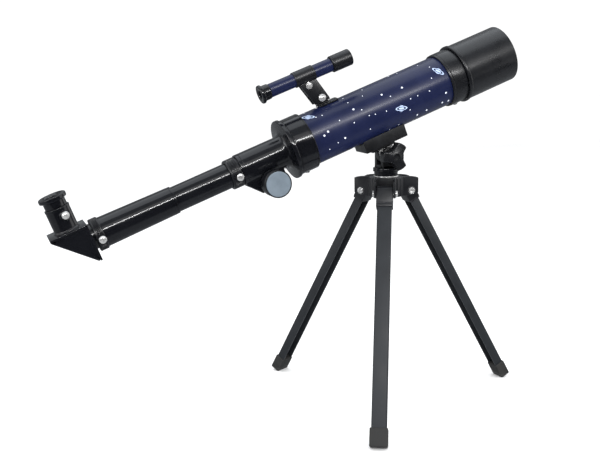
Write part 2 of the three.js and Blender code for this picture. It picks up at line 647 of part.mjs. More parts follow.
function makeDiagonalBody() {
  const { x, front, rear, top, bottom, halfWidth, wall, slopeTop, toe } = diagonal;
  const outline = [[rear, top], [front, top], [front, bottom], [front - toe, bottom], [rear, slopeTop]];
  const shell = plateXZ(outline, -halfWidth, halfWidth);
  const inside = halfWidth - wall;
  const cavity = box(rear - reach, front - wall, -inside, inside, bottom - reach, top - wall);
  const neck = rodZ(x, 0, socket.radius, top - past, socket.top, round);
  const boss = rodY(0, 0, socket.bossRadius, -socket.radius - socket.bossHeight, -socket.bossRoot);
  const bore = rodZ(x, 0, socket.bore, socket.boreBottom, socket.top + past, round);
  const noseHole = tubeX(front - wall - past, front + past, nose.radius + gap, 0, round);
  const screwHole = rodY(0, 0, screwHead.hole, -reach, 0);
  return onAxis(shell.subtract(cavity).add(neck).add(atNeckScrew(boss)).subtract(bore)
    .subtract(noseHole).subtract(atNeckScrew(screwHole)));
}

function makeDiagonalCover() {
  const { front, rear, bottom, wall, halfWidth, slopeTop, toe, coverThickness, coverTop } = diagonal;
  const inner = front - wall - gap;
  const half = halfWidth - wall - gap;
  const lift = coverThickness * Math.SQRT2;
  const slope = (x) => rear + slopeTop - x;
  const outline = [[rear, slopeTop], [rear, coverTop], [rear + slopeTop + lift - coverTop, coverTop],
    [inner, slope(inner) + lift], [inner, bottom], [front - toe, bottom]];
  return onAxis(plateXZ(outline, -half, half));
}

function makeMirror() {
  const { halfLength, halfWidth, halfThickness } = mirror;
  const plate = box(-halfLength, halfLength, -halfWidth, halfWidth, -2 * halfThickness, 0);
  return onAxis(plate.rotate([0, 45, 0]).translate([diagonal.x, 0, 0]));
}

const makeNosepiece = () => onAxis(tubeX(nose.rear, nose.front, nose.radius, nose.bore, round));

function makeDiagonalThumbscrew() {
  const seat = socket.radius + socket.bossHeight + gap;
  return onAxis(atNeckScrew(towardsNear(headedPin(seat, socket.bore + gap / 3))));
}

const standing = (solid) => onAxis(solid.rotate([0, -90, 0]).translate([diagonal.x, 0, 0]));

function makeEyepieceBody() {
  const { barrel: slim, neck, flange: rim, bottom, shoulder, top, chamfer: edge } = eyepiece;
  const { bore, wide, boreStart, dish, dishDepth } = eyepiece;
  const profile = [
    [bottom, wide], [bottom, slim], [socket.top + gap, slim], [socket.top + gap, neck], [shoulder, neck],
    [shoulder, rim - edge / 2], [shoulder + edge / 2, rim], [top - edge, rim], [top, rim - edge], [top, dish],
    [top - dishDepth, bore], [boreStart, bore], [boreStart, wide],
  ];
  return standing(turnedX(profile, round));
}

// ---------------------------------------------------------------- finder
const finderZ = (solid) => onAxis(solid.translate([0, 0, finder.z]));

const makePivotHole = () =>
  rodY(finderClamp.pivotX, finderClamp.pivotZ, finderClamp.pivotHole, -reach, reach);

function makeFinderBracket() {
  const { rear, front, radius, bottom, half, slotHalf, slotTop } = finderClamp;
  const top = finder.z - finderClamp.postTop;
  const post = plateXZ([[finderClamp.topRear, top], [finderClamp.topFront, top],
    [finderClamp.bottomFront, bottom], [finderClamp.bottomRear, bottom]], -half, half);
  const slot = box(rear - past, finderClamp.bottomFront + past, -slotHalf, slotHalf, bottom - past, slotTop);
  const sleeve = tubeX(rear, front, radius, 0, round).translate([0, 0, finder.z]);
  const bore = tubeX(rear - past, front + past, finder.radius + gap, 0, round).translate([0, 0, finder.z]);
  const { nutX, nutZ, nutHole: size } = finderClamp;
  const nutHole = rodY(nutX, nutZ, size, -reach, -finderNut.studRoot + past);
  return onAxis(post.add(sleeve).subtract(slot).subtract(bore).subtract(makePivotHole()).subtract(nutHole));
}

function makeFinderFoot() {
  const { rear, front, half, thickness, keepBottom, keepTop, lugHalf } = finderFoot;
  const inner = tube.radius + gap;
  const strip = tubeX(rear, front, inner + thickness, 0, fine);
  const keep = box(rear - past, front + past, -half, half, keepBottom, keepTop);
  const lug = plateXZ(finderFoot.lug, -lugHalf, lugHalf);
  const trough = tubeX(rear - past, front + past, inner, 0, fine);
  return onAxis(strip.intersect(keep).add(lug).subtract(trough).subtract(makePivotHole()));
}

function makeFinderPivotScrew() {
  const { seat, dome, shank, end, nut, nutEnd } = pivotScrew;
  const cap = turnedX([[seat, 0], ...dome.map(([x, r]) => [seat + x, r])], 32);
  const tail = tubeX(-end, seat + gap, shank, 0, 24);
  const hexNut = tubeX(-nutEnd, -seat, nut, 0, 6);
  const screw = towardsNear(cap.add(tail).add(hexNut));
  return onAxis(screw.translate([finderClamp.pivotX, 0, finderClamp.pivotZ]));
}

function makeFinderNut() {
  const { seat, top, radius, stud, studRoot, studTop } = finderNut;
  const nut = tubeX(seat, top, radius, 0, 6).add(tubeX(studRoot, studTop, stud, 0, 20));
  return onAxis(towardsNear(nut).translate([finderClamp.nutX, 0, finderClamp.nutZ]));
}

const makeFinderTube = () => finderZ(tubeX(finder.rear, finder.front, finder.radius, finder.bore, round));

function makeFinderEyepiece() {
  const { rear, radius, chamfer, discFront, collar: sleeve, collarFront } = finderEyepiece;
  const { plug, front, bore, eye, eyeEnd } = finderEyepiece;
  const step = finder.rear - gap;
  const profile = [
    [rear, eye], [rear, radius - chamfer], [rear + chamfer, radius], [discFront, radius],
    [discFront + chamfer, sleeve], [step, collarFront], [step, plug], [front, plug], [front, bore],
    [eyeEnd, bore],
  ];
  return finderZ(turnedX(profile, round));
}

function makeFinderHood() {
  const { rear, plug, bore, radius, shoulder, chamfer, front, mouth, seat } = finderHood;
  const step = finder.front + gap;
  const profile = [
    [rear, bore], [rear, plug], [step, plug], [step, shoulder], [step + chamfer, radius],
    [front - chamfer, radius], [front, shoulder], [front, mouth], [seat, mouth], [seat, bore],
  ];
  return finderZ(turnedX(profile, round));
}

// ---------------------------------------------------------------- assembly
const root = new THREE.Group();

const stand = new THREE.Group();
const hubMesh = part('hub', makeHub(), blackPlastic);
hubMesh.rotation.z = THREE.MathUtils.degToRad(30 + tripod.turn);
stand.add(hubMesh);
addLeg(stand, 'leg_front', -90);
addLeg(stand, 'leg_right', 30);
addLeg(stand, 'leg_left', 150);
stand.add(part('pan_washer', makePanWasher(), nickel));
stand.add(part('pan_screw', makePanScrew(), nickel));
stand.add(part('tilt_post', makeTiltPost(), greyPlastic));
root.add(stand);

const tiltAxis = new THREE.Group();
tiltAxis.position.z = head.tiltHeight;
tiltAxis.add(part('tilt_bolt', makeTiltBolt(), nickel));
tiltAxis.add(part('tilt_clamp_knob', makeClampKnob(), greyPlastic));
root.add(tiltAxis);

const telescope = new THREE.Group();
telescope.rotation.y = -THREE.MathUtils.degToRad(elevation);
tiltAxis.add(telescope);

telescope.add(part('saddle', makeSaddle(), greyPlastic));
telescope.add(part('tilt_plate', makeTiltPlate(), nickel));
telescope.add(part('saddle_screw', makeSaddleScrew(), nickel));
telescope.add(part('main_tube', makeMainTube(), blueMetal));
telescope.add(part('objective_cell', makeObjectiveCell(), blackPlastic));
telescope.add(part('objective_lens', onAxis(makeLens(lens.seat + gap, lens, round)), glass));
telescope.add(part('lens_retaining_ring', makeRetainingRing(), blackPlastic));
telescope.add(part('dew_shield', makeDewShield(), blackPlastic));
telescope.add(part('cell_screw', makeDownScrew(cell), nickel));

telescope.add(part('focuser_body', makeFocuserBody(), blackPlastic));
telescope.add(part('focuser_screw', makeDownScrew(collar), nickel));
telescope.add(part('pinion_cover', makePinionCover(), blackPlastic));
telescope.add(part('focus_pinion', makePinion(), nickel));
telescope.add(part('focus_knob_near', makeFocusKnob(-1), blackPlastic));
telescope.add(part('focus_knob_cap_near', makeKnobCap(-1), capGrey));
telescope.add(part('focus_knob_far', makeFocusKnob(1), blackPlastic));
telescope.add(part('focus_knob_cap_far', makeKnobCap(1), capGrey));

telescope.add(part('draw_tube', makeDrawTube(), blackPlastic));
telescope.add(part('draw_rack', makeRack(), blackPlastic));
telescope.add(part('draw_collar', makeClampRing(drawRing, draw.bore), blackPlastic));
telescope.add(part('draw_thumbscrew', makeThumbscrew(drawRing, draw.bore), nickel));

telescope.add(part('erector_barrel', makeErectorBarrel(), blackPlastic));
telescope.add(part('erector_body', makeErectorBody(), blackPlastic));
telescope.add(part('erector_lens_front', onAxis(makeLens(erectorLens.front, erectorLens)), glass));
telescope.add(part('erector_lens_rear', onAxis(makeLens(erectorLens.rear, erectorLens)), glass));
telescope.add(part('erector_socket', makeClampRing(endRing, erectorBody.socket), blackPlastic));
telescope.add(part('erector_thumbscrew', makeThumbscrew(endRing, erectorBody.socket), nickel));

telescope.add(part('diagonal_body', makeDiagonalBody(), blackPlastic));
telescope.add(part('diagonal_cover', makeDiagonalCover(), blackPlastic));
telescope.add(part('diagonal_mirror', makeMirror(), mirrorSilver));
telescope.add(part('diagonal_nosepiece', makeNosepiece(), blackPlastic));
telescope.add(part('diagonal_thumbscrew', makeDiagonalThumbscrew(), nickel));
telescope.add(part('eyepiece_body', makeEyepieceBody(), blackPlastic));
telescope.add(part('eyepiece_lens', standing(makeLens(eyepiece.lens.x, eyepiece.lens)), glass));

telescope.add(part('finder_tube', makeFinderTube(), blueMetal));
telescope.add(part('finder_bracket', makeFinderBracket(), blackPlastic));
telescope.add(part('finder_foot', makeFinderFoot(), blackPlastic));
telescope.add(part('finder_pivot_screw', makeFinderPivotScrew(), nickel));
telescope.add(part('finder_nut', makeFinderNut(), nickel));
telescope.add(part('finder_eyepiece', makeFinderEyepiece(), blackPlastic));
telescope.add(part('finder_hood', makeFinderHood(), blackPlastic));
telescope.add(part('finder_lens', finderZ(makeLens(finderLens.x, finderLens, 32)), glass));

// The origin is the middle of the footprint, on the floor.
root.updateMatrixWorld(true);
const bounds = new THREE.Box3().setFromObject(root, true);
const middle = bounds.getCenter(new THREE.Vector3());
root.position.set(-middle.x, -middle.y, -bounds.min.z);

export default root;
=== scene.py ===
import bmesh
import bpy
import json
from math import asin, atan2, cos, hypot, pi, radians, sin, sqrt
from mathutils import Matrix, Vector


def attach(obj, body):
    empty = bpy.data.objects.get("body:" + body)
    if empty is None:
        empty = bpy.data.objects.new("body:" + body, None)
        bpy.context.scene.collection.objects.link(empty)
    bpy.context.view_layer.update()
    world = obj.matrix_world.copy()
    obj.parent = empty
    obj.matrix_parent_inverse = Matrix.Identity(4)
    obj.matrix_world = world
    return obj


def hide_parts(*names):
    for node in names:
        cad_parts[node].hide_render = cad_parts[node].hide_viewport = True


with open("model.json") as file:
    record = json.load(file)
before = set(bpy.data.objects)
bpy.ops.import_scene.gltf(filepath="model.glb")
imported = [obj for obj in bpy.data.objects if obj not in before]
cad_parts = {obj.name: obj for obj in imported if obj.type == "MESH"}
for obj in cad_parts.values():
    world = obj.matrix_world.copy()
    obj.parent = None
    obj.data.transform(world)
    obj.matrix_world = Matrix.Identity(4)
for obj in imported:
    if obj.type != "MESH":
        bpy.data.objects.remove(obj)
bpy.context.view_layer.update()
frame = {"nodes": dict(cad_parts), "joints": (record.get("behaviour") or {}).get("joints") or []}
cadNodes = frame["nodes"]
joints = {joint["name"]: joint for joint in frame["joints"]}
print("frame loaded,", len(cadNodes), "nodes")


# Places: millimetre frames set on the joints
def frameAt(origin, xAxis, zAxis):
    x, z = Vector(xAxis).normalized(), Vector(zAxis).normalized()
    turn = Matrix((x, z.cross(x), z)).transposed().to_4x4()
    return Matrix.Translation(origin) @ turn @ Matrix.Scale(0.001, 4)


def span(node, place):  # a node's lowest and highest corner, in a frame's own millimetres
    inward = place.inverted()
    points = [inward @ vertex.co for vertex in cadNodes[node].data.vertices]
    low = Vector([min(point[i] for point in points) for i in range(3)])
    high = Vector([max(point[i] for point in points) for i in range(3)])
    return low, high


up = Vector((0, 0, 1))
panAt = Vector(joints["pan"]["pos_m"])
tiltAt = Vector(joints["tilt"]["pos_m"])
aim = Vector(joints["draw_slide"]["axis"])
headFrame = frameAt(tiltAt, (1, 0, 0), up)
tiltFrame = frameAt(tiltAt, aim, aim.cross((0, 1, 0)))
tubeLow, tubeHigh = span("main_tube", tiltFrame)
tubeFrame = tiltFrame @ Matrix.Translation((0, 0, (tubeLow.z + tubeHigh.z) / 2))
finderLow, finderHigh = span("finder_tube", tubeFrame)
finderFrame = tubeFrame @ Matrix.Translation((0, 0, (finderLow.z + finderHigh.z) / 2))
towardsNear = Matrix.Rotation(radians(-90), 4, "Z")  # turns a pin made along X to point at -Y
towardsFar = Matrix.Rotation(radians(90), 4, "Z")
towardsUp = Matrix.Rotation(radians(-90), 4, "Y")
towardsDown = Matrix.Rotation(radians(90), 4, "Y")
tipped = Matrix.Rotation(radians(90), 4, "X")  # Y goes to Z


def at(x=0, y=0, z=0):
    return Matrix.Translation((x, y, z))


def towardsSide(side):  # -1 is the near side, 1 the far side
    return towardsNear if side < 0 else towardsFar


# Shapes
def turned(points, steps=96):
    shape = bmesh.new()
    corners = [shape.verts.new((point[0], 0, point[1])) for point in points]
    onAxis = points[0][1] == 0 and points[-1][1] == 0
    for a, b in zip(corners, corners[1:] + ([] if onAxis else corners[:1])):
        shape.edges.new((a, b))
    for size in sorted({point[2] for point in points if len(point) > 2}):
        rounded = [corner for corner, point in zip(corners, points) if len(point) > 2 and point[2] == size]
        bmesh.ops.bevel(shape, geom=rounded, offset=size, segments=3, profile=0.5, affect="VERTICES",
                        material=-1)
    bmesh.ops.spin(shape, geom=shape.verts[:] + shape.edges[:], cent=(0, 0, 0), axis=(1, 0, 0),
                   angle=2 * pi, steps=steps, use_merge=True)
    bmesh.ops.remove_doubles(shape, verts=shape.verts, dist=1e-4)
    bmesh.ops.recalc_face_normals(shape, faces=shape.faces)
    return shape


def ribbed(shape, start, end, reach, thickness, depth):  # raises every face of a band into a rib
    band = []
    for face in shape.faces:
        middle = face.calc_center_median()
        if start < middle.x < end and hypot(middle.y, middle.z) > reach:
            band.append(face)
    bmesh.ops.inset_individual(shape, faces=band, thickness=thickness, depth=depth, use_even_offset=True)
    return shape


def softened(shape, width, segments=3, above=35):
    sharp = [edge for edge in shape.edges if edge.is_manifold and edge.calc_face_angle(0) > radians(above)]
    bmesh.ops.bevel(shape, geom=sharp, offset=width, segments=segments, profile=0.5, affect="EDGES",
                    material=-1, clamp_overlap=True)
    return shape


def plate(outline, start, end, soft=0.5, segments=3):  # an outline in XZ, carried along Y
    shape = bmesh.new()
    face = shape.faces.new([shape.verts.new((x, start, z)) for x, z in outline])
    carried = bmesh.ops.extrude_face_region(shape, geom=[face])["geom"]
    ends = [item for item in carried if isinstance(item, bmesh.types.BMVert)]
    bmesh.ops.translate(shape, verts=ends, vec=(0, end - start, 0))
    bmesh.ops.recalc_face_normals(shape, faces=shape.faces)
    return softened(shape, soft, segments) if soft else shape


def block(low, high, soft=0.5, segments=3):
    shape = bmesh.new()
    bmesh.ops.create_cube(shape, size=1)
    low, high = Vector(low), Vector(high)
    bmesh.ops.scale(shape, verts=shape.verts, vec=high - low)
    bmesh.ops.translate(shape, verts=shape.verts, vec=(low + high) / 2)
    return softened(shape, soft, segments) if soft else shape


def moved(shape, place):
    shape.transform(place)
    return shape


def joined(*shapes):
    whole = bmesh.new()
    for shape in shapes:
        carrier = bpy.data.meshes.new("carrier")
        shape.to_mesh(carrier)
        shape.free()
        whole.from_mesh(carrier)
        bpy.data.meshes.remove(carrier)
    return whole


def arc(radius, start, end, steps, x=0, z=0):  # outline points on an arc, angles in degrees
    angles = [radians(start + (end - start) * i / steps) for i in range(steps + 1)]
    return [(x + radius * cos(angle), z + radius * sin(angle)) for angle in angles]


def slotted(shape, beyond, halfWidth, depth, reach):  # a screwdriver slot across the end that faces +X
    for side in (-1, 1):
        bmesh.ops.bisect_plane(shape, geom=shape.verts[:] + shape.edges[:] + shape.faces[:], dist=1e-5,
                               plane_co=(0, side * halfWidth, 0), plane_no=(0, 1, 0))
    floor = []
    for face in shape.faces:
        middle = face.calc_center_median()
        within = middle.x > beyond and abs(middle.y) < halfWidth and abs(middle.z) < reach
        if within and face.normal.x > 0.2:
            floor.append(face)
    bmesh.ops.inset_region(shape, faces=floor, thickness=0.04, depth=-depth, use_even_offset=True)
    return shape


def finished(name, shape, place, look, body, slotName, *replaced, smooth=35):
    shape.transform(place)
    mesh = bpy.data.meshes.new(name)
    shape.to_mesh(mesh)
    shape.free()
    mesh.materials.append(look)
    mesh.shade_smooth()
    mesh.set_sharp_from_angle(angle=radians(smooth))
    piece = bpy.data.objects.new(name, mesh)
    bpy.context.scene.collection.objects.link(piece)
    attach(piece, body)
    if replaced:
        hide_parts(*replaced)
    return piece


# Materials
class Surface:
    def __init__(self, name):
        self.material = bpy.data.materials.new(name)
        self.material.use_nodes = True
        self.tree = self.material.node_tree
        self.shader = self.tree.nodes["Principled BSDF"]

    def node(self, kind, wires=None, **settings):
        made = self.tree.nodes.new("ShaderNode" + kind)
        for key, value in settings.items():
            setattr(made, key, value)
        for socket, value in (wires or {}).items():
            self.set(made, socket, value)
        return made

    def math(self, operation, *values, **settings):
        return self.node("Math", dict(enumerate(values)), operation=operation, **settings).outputs[0]

    def set(self, made, socket, value):
        if isinstance(value, bpy.types.NodeSocket):
            self.tree.links.new(value, made.inputs[socket])
        else:
            made.inputs[socket].default_value = value

    def shade(self, **values):
        for socket, value in values.items():
            self.set(self.shader, socket.replace("_", " "), value)

    def where(self, stretch=(1, 1, 1), turn=(0, 0, 0), shift=(0, 0, 0)):
        place = self.node("TexCoord").outputs["Object"]
        return self.node("Mapping", {"Vector": place, "Location": shift, "Rotation": turn,
                                     "Scale": stretch}).outputs[0]

    def noise(self, scale, place, detail=3.0, roughness=0.5):
        return self.node("TexNoise", {"Vector": place, "Scale": scale, "Detail": detail,
                                      "Roughness": roughness}).outputs["Fac"]

    def remap(self, value, low, high, fromLow=0.3, fromHigh=0.7):
        return self.node("MapRange", {"Value": value, "From Min": fromLow, "From Max": fromHigh,
                                      "To Min": low, "To Max": high}).outputs[0]

    def mix(self, factor, a, b):
        made = self.node("Mix", data_type="RGBA")
        for socket, value in ((0, factor), (6, a), (7, b)):
            self.set(made, socket, value)
        return made.outputs[2]

    def tone(self, cloud, look):  # drifts between a look's dark and light colours
        return self.mix(self.remap(cloud, 0.0, 1.0), (*look["dark"], 1), (*look["light"], 1))

    def bump(self, height, depth):
        return self.node("Bump", {"Height": height, "Distance": depth, "Strength": 1.0}).outputs[0]

    def edges(self, radius):  # 0 on flats, 1 on edges and corners
        soft = self.node("Bevel", {"Radius": radius}, samples=4).outputs[0]
        true = self.node("NewGeometry").outputs["Normal"]
        facing = self.node("VectorMath", {0: soft, 1: true}, operation="DOT_PRODUCT").outputs["Value"]
        return self.remap(facing, 1.0, 0.0, 0.82, 0.995)


def plastic(name, look):
    made = Surface(name)
    place = made.where()
    cloud = made.noise(look["cloud"], place, 4.0, 0.6)
    grain = made.noise(look["grain"], place, 2.0)
    color = made.tone(cloud, look)
    rough = made.remap(cloud, look["rough"][0], look["rough"][1])
    normal = made.bump(grain, look["depth"])
    if look.get("wear"):
        worn = made.edges(look["wearWidth"])
        broken = made.remap(made.noise(420, place, 3.0), 0.2, 1.0)
        worn = made.math("MULTIPLY", worn, broken)
        worn = made.math("MULTIPLY", worn, look["wear"])
        color = made.mix(worn, color, (*look["worn"], 1))
    made.shade(Base_Color=color, Roughness=rough, Normal=normal, IOR=look.get("ior", 1.5))
    return made.material


glossBlack = plastic("gloss black plastic", {
    "dark": (0.0034, 0.0037, 0.005), "light": (0.0052, 0.0057, 0.0076), "rough": (0.1, 0.17),
    "cloud": 55, "grain": 1500, "depth": 0.000012, "ior": 1.52})
satinBlack = plastic("satin black plastic", {
    "dark": (0.0046, 0.005, 0.0064), "light": (0.0072, 0.0078, 0.0098), "rough": (0.24, 0.34),
    "cloud": 60, "grain": 2600, "depth": 0.00004, "wear": 0.25, "wearWidth": 0.0005,
    "worn": (0.05, 0.05, 0.054)})
mountGrey = plastic("grained grey plastic", {
    "dark": (0.0042, 0.0046, 0.0058), "light": (0.0072, 0.0078, 0.0096), "rough": (0.34, 0.46),
    "cloud": 90, "grain": 1900, "depth": 0.00009, "wear": 0.6, "wearWidth": 0.0006,
    "worn": (0.1, 0.1, 0.105)})
hubBlack = plastic("hub plastic", {
    "dark": (0.0052, 0.0058, 0.0075), "light": (0.0088, 0.0096, 0.012), "rough": (0.28, 0.38),
    "cloud": 70, "grain": 1400, "depth": 0.00005, "wear": 0.7, "wearWidth": 0.0006,
    "worn": (0.16, 0.16, 0.17)})
bootRubber = plastic("boot rubber", {
    "dark": (0.011, 0.011, 0.011), "light": (0.022, 0.0215, 0.021), "rough": (0.62, 0.85),
    "cloud": 140, "grain": 2200, "depth": 0.00012, "wear": 0.5, "wearWidth": 0.0008,
    "worn": (0.05, 0.049, 0.047)})


def legPaint():
    look = {"dark": (0.0105, 0.0125, 0.0155), "light": (0.0145, 0.0172, 0.0212),
            "worn": (0.13, 0.14, 0.155), "rough": (0.46, 0.56), "scuffRough": 0.1, "wear": 0.75,
            "wearWidth": 0.0006, "peel": 900, "peelDepth": 0.00005}
    made = Surface("leg paint")
    place = made.where()
    cloud = made.noise(45, place, 4.0, 0.6)
    peel = made.noise(look["peel"], place, 2.0)
    scuff = made.remap(made.noise(260, made.where(stretch=(6, 6, 0.5)), 4.0), 0.0, 1.0, 0.6, 0.75)
    color = made.tone(cloud, look)
    worn = made.math("MULTIPLY", made.edges(look["wearWidth"]), look["wear"])
    color = made.mix(worn, color, (*look["worn"], 1))
    rough = made.math("ADD", made.remap(cloud, *look["rough"]),
                      made.remap(scuff, 0.0, look["scuffRough"], 0.0, 1.0))
    made.shade(Base_Color=color, Roughness=rough, Normal=made.bump(peel, look["peelDepth"]), Metallic=0.1)
    return made.material


def brightMetal():
    look = {"dark": (0.62, 0.62, 0.615), "light": (0.78, 0.78, 0.775), "rough": (0.15, 0.28)}
    made = Surface("bright nickel")
    place = made.where()
    smudge = made.noise(300, place, 4.0, 0.6)
    scratch = made.noise(2400, made.where(stretch=(1, 8, 1), turn=(0.4, 0.3, 0.9)), 3.0)
    color = made.tone(smudge, look)
    made.shade(Base_Color=color, Roughness=made.remap(smudge, *look["rough"]), Metallic=0.72,
               Normal=made.bump(scratch, 0.000012))
    return made.material


def capFace():
    look = {"dark": (0.145, 0.18, 0.215), "light": (0.175, 0.215, 0.255), "rough": (0.3, 0.42)}
    made = Surface("knob cap face")
    place = made.where()
    cloud = made.noise(120, place, 4.0)
    grain = made.noise(3200, place, 2.0)
    color = made.tone(cloud, look)
    made.shade(Base_Color=color, Roughness=made.remap(cloud, *look["rough"]), Metallic=0.25,
               Normal=made.bump(grain, 0.000015), Coat_Weight=0.2)
    return made.material


def lensGlass():
    made = Surface("coated lens glass")
    dust = made.remap(made.noise(900, made.where(), 5.0), 0.0, 0.06, 0.55, 0.8)
    made.shade(Base_Color=(0.93, 0.96, 0.98, 1), Roughness=dust, IOR=1.52, Transmission_Weight=1.0,
               Thin_Film_Thickness=118.0, Thin_Film_IOR=1.38)
    return made.material


def silvered():
    made = Surface("silvered mirror")
    haze = made.remap(made.noise(160, made.where(), 4.0), 0.02, 0.07)
    made.shade(Base_Color=(0.86, 0.87, 0.88, 1), Metallic=1.0, Roughness=haze)
    return made.material


# The tube's lacquer has white dots in two sizes and a few ringed planets, laid out on the tube's own UV map:
# u runs round the tube and v along it, both in centimetres.
def tubeLacquer(name, printed):
    look = {
        "dark": (0.0045, 0.0078, 0.035), "light": (0.006, 0.01, 0.044), "rough": (0.28, 0.36),
        "ink": (0.74, 0.78, 0.86), "planetInk": (0.42, 0.52, 0.72), "cellsPerCm": 0.86, "small": 0.055,
        "large": 0.095, "blank": 0.42, "largeAbove": 0.8, "edge": 7.4,
        "ball": 0.3, "ring": (0.88, 0.12), "ringStretch": (1.55, 4.6, 0), "moat": (0.62, 0.14),
        "clear": 0.62, "planets": [(-2.5, 7.2, 0.6), (-4.4, 2.1, 1.3), (-1.2, -6.7, 1.0), (3.4, 3.4, 0.2),
                    (6.0, -3.4, 1.0)],
    }
    made = Surface(name)
    place = made.where()
    cloud = made.noise(40, place, 3.0)
    peel = made.noise(700, place, 2.0)
    color = made.tone(cloud, look)
    if printed:
        spot = made.node("UVMap").outputs[0]
        cells = made.node("TexVoronoi", {"Vector": spot, "Scale": look["cellsPerCm"], "Randomness": 1.0},
                          voronoi_dimensions="2D", feature="F1")
        pick = made.node("SeparateColor", {"Color": cells.outputs["Color"]}).outputs[0]
        isLarge = made.math("GREATER_THAN", pick, look["largeAbove"])
        isThere = made.math("GREATER_THAN", pick, look["blank"])
        size = made.remap(isLarge, look["small"] * look["cellsPerCm"], look["large"] * look["cellsPerCm"],
                          0, 1)
        dot = made.math("LESS_THAN", cells.outputs["Distance"], size)
        ink = made.math("MULTIPLY", dot, isThere)
        home = made.node("SeparateXYZ", {"Vector": cells.outputs["Position"]}).outputs[0]
        inside = made.math("LESS_THAN", made.math("ABSOLUTE", home), look["edge"])
        ink = made.math("MULTIPLY", ink, inside)
        planets = 0.0
        for u, v, lean in look["planets"]:
            near = made.node("VectorMath", {0: spot, 1: (u, v, 0)}, operation="SUBTRACT").outputs[0]
            apart = made.node("VectorMath", {0: near}, operation="LENGTH").outputs["Value"]
            leaned = made.node("VectorRotate", {"Vector": near, "Angle": lean},
                               rotation_type="Z_AXIS").outputs[0]
            flat = made.node("VectorMath", {0: leaned, 1: look["ringStretch"]},
                             operation="MULTIPLY").outputs[0]
            reach = made.node("VectorMath", {0: flat}, operation="LENGTH").outputs["Value"]
            ball = made.math("LESS_THAN", apart, look["ball"])
            ring = made.math("COMPARE", reach, *look["ring"])
            clear = made.math("GREATER_THAN", apart, look["clear"])
            moat = made.math("COMPARE", reach, *look["moat"])
            ball = made.math("SUBTRACT", ball, moat, use_clamp=True)
            planet = made.math("MAXIMUM", ball, ring)
            ink = made.math("MULTIPLY", ink, clear)
            planets = made.math("MAXIMUM", planets, planet)
        color = made.mix(ink, color, (*look["ink"], 1))
        color = made.mix(planets, color, (*look["planetInk"], 1))
    made.shade(Base_Color=color, Roughness=made.remap(cloud, *look["rough"]), Metallic=0.0,
               Normal=made.bump(peel, 0.000018), Coat_Weight=0.12, Coat_Roughness=0.2, IOR=1.4)
    return made.material


nickel = brightMetal()
legMetal = legPaint()
capGrey = capFace()
glass = lensGlass()
mirror = silvered()
starLacquer = tubeLacquer("star-printed blue lacquer", True)
plainLacquer = tubeLacquer("blue lacquer", False)
print("materials made")


# Camera, set back from the pan axis
camera = {"back": (-0.4005, -0.8588), "height": 0.3485, "heading": -19.716, "down": 10.582, "roll": -0.907,
          "lens": 56.65}
heading, down, roll = radians(camera["heading"]), radians(camera["down"]), radians(camera["roll"])
level = Vector((cos(heading), sin(heading), 0))
forward = Vector((-sin(heading) * cos(down), cos(heading) * cos(down), -sin(down)))
rise = level.cross(forward)
right = level * cos(roll) + rise * sin(roll)
top = rise * cos(roll) - level * sin(roll)
turn = Matrix((right, top, -forward)).transposed().to_4x4()
lensData = bpy.data.cameras.new("camera")
lensData.sensor_width = 36
lensData.lens = camera["lens"]
viewer = bpy.data.objects.new("camera", lensData)
stood = (panAt.x + camera["back"][0], panAt.y + camera["back"][1], camera["height"])
viewer.matrix_world = Matrix.Translation(stood) @ turn
bpy.context.scene.collection.objects.link(viewer)
bpy.context.scene.camera = viewer


# Main tube, objective and dew shield
def makeTube():
    size = {"wall": 1.2, "lip": 0.35, "steps": 160}
    low, high = span("main_tube", tubeFrame)
    reach = (high.z - low.z) / 2
    shape = turned([(low.x, reach - size["wall"]), (low.x, reach, size["lip"]),
                    (high.x, reach, size["lip"]), (high.x, reach - size["wall"])], size["steps"])
    layer = shape.loops.layers.uv.new("wrap")
    for face in shape.faces:  # unrolled from the near side, with its seam at the bottom
        middle = face.calc_center_median()
        centre = atan2(middle.z, -middle.y)
        centre += 2 * pi if centre < -pi / 2 else 0
        for loop in face.loops:
            angle = atan2(loop.vert.co.z, -loop.vert.co.y)
            angle += 2 * pi * round((centre - angle) / (2 * pi))
            loop[layer].uv = ((angle - pi / 2) * reach / 10, loop.vert.co.x / 10)
    return finished("tube_shell", shape, tubeFrame, starLacquer, "telescope", "blue_lacquer", "main_tube")


def makeCell():
    size = {"groove": 0.35, "grooveAt": 2.6, "grooveHalf": 0.5, "shoulder": 17.4, "spigotStep": 1.3,
            "mouthWall": 3.0, "throatWall": 4.7, "socketWall": 1.6, "mouthDepth": 15.5, "socketDepth": 12.5,
            "steps": 144}
    low, high = span("objective_cell", tubeFrame)
    reach = (high.z - low.z) / 2
    rear, front = low.x, high.x
    shoulder, grooveAt = rear + size["shoulder"], rear + size["grooveAt"]
    spigot, socket = reach - size["spigotStep"], reach - size["socketWall"]
    mouth, throat = reach - size["mouthWall"], reach - size["throatWall"]
    mouthEnd, socketEnd = front - size["mouthDepth"], rear + size["socketDepth"]
    shape = turned([
        (rear, socket), (rear, reach - 0.2, 0.3), (grooveAt - size["grooveHalf"], reach, 0.2),
        (grooveAt, reach - size["groove"]), (grooveAt + size["grooveHalf"], reach, 0.2),
        (shoulder - 0.2, reach, 0.6), (shoulder, spigot), (front - 0.2, spigot, 0.3), (front, reach - 2.0),
        (front, mouth), (mouthEnd, mouth), (mouthEnd, throat), (socketEnd, throat), (socketEnd, socket)],
        size["steps"])
    return finished("cell_ring", shape, tubeFrame, satinBlack, "telescope", "black_plastic",
                    "objective_cell")


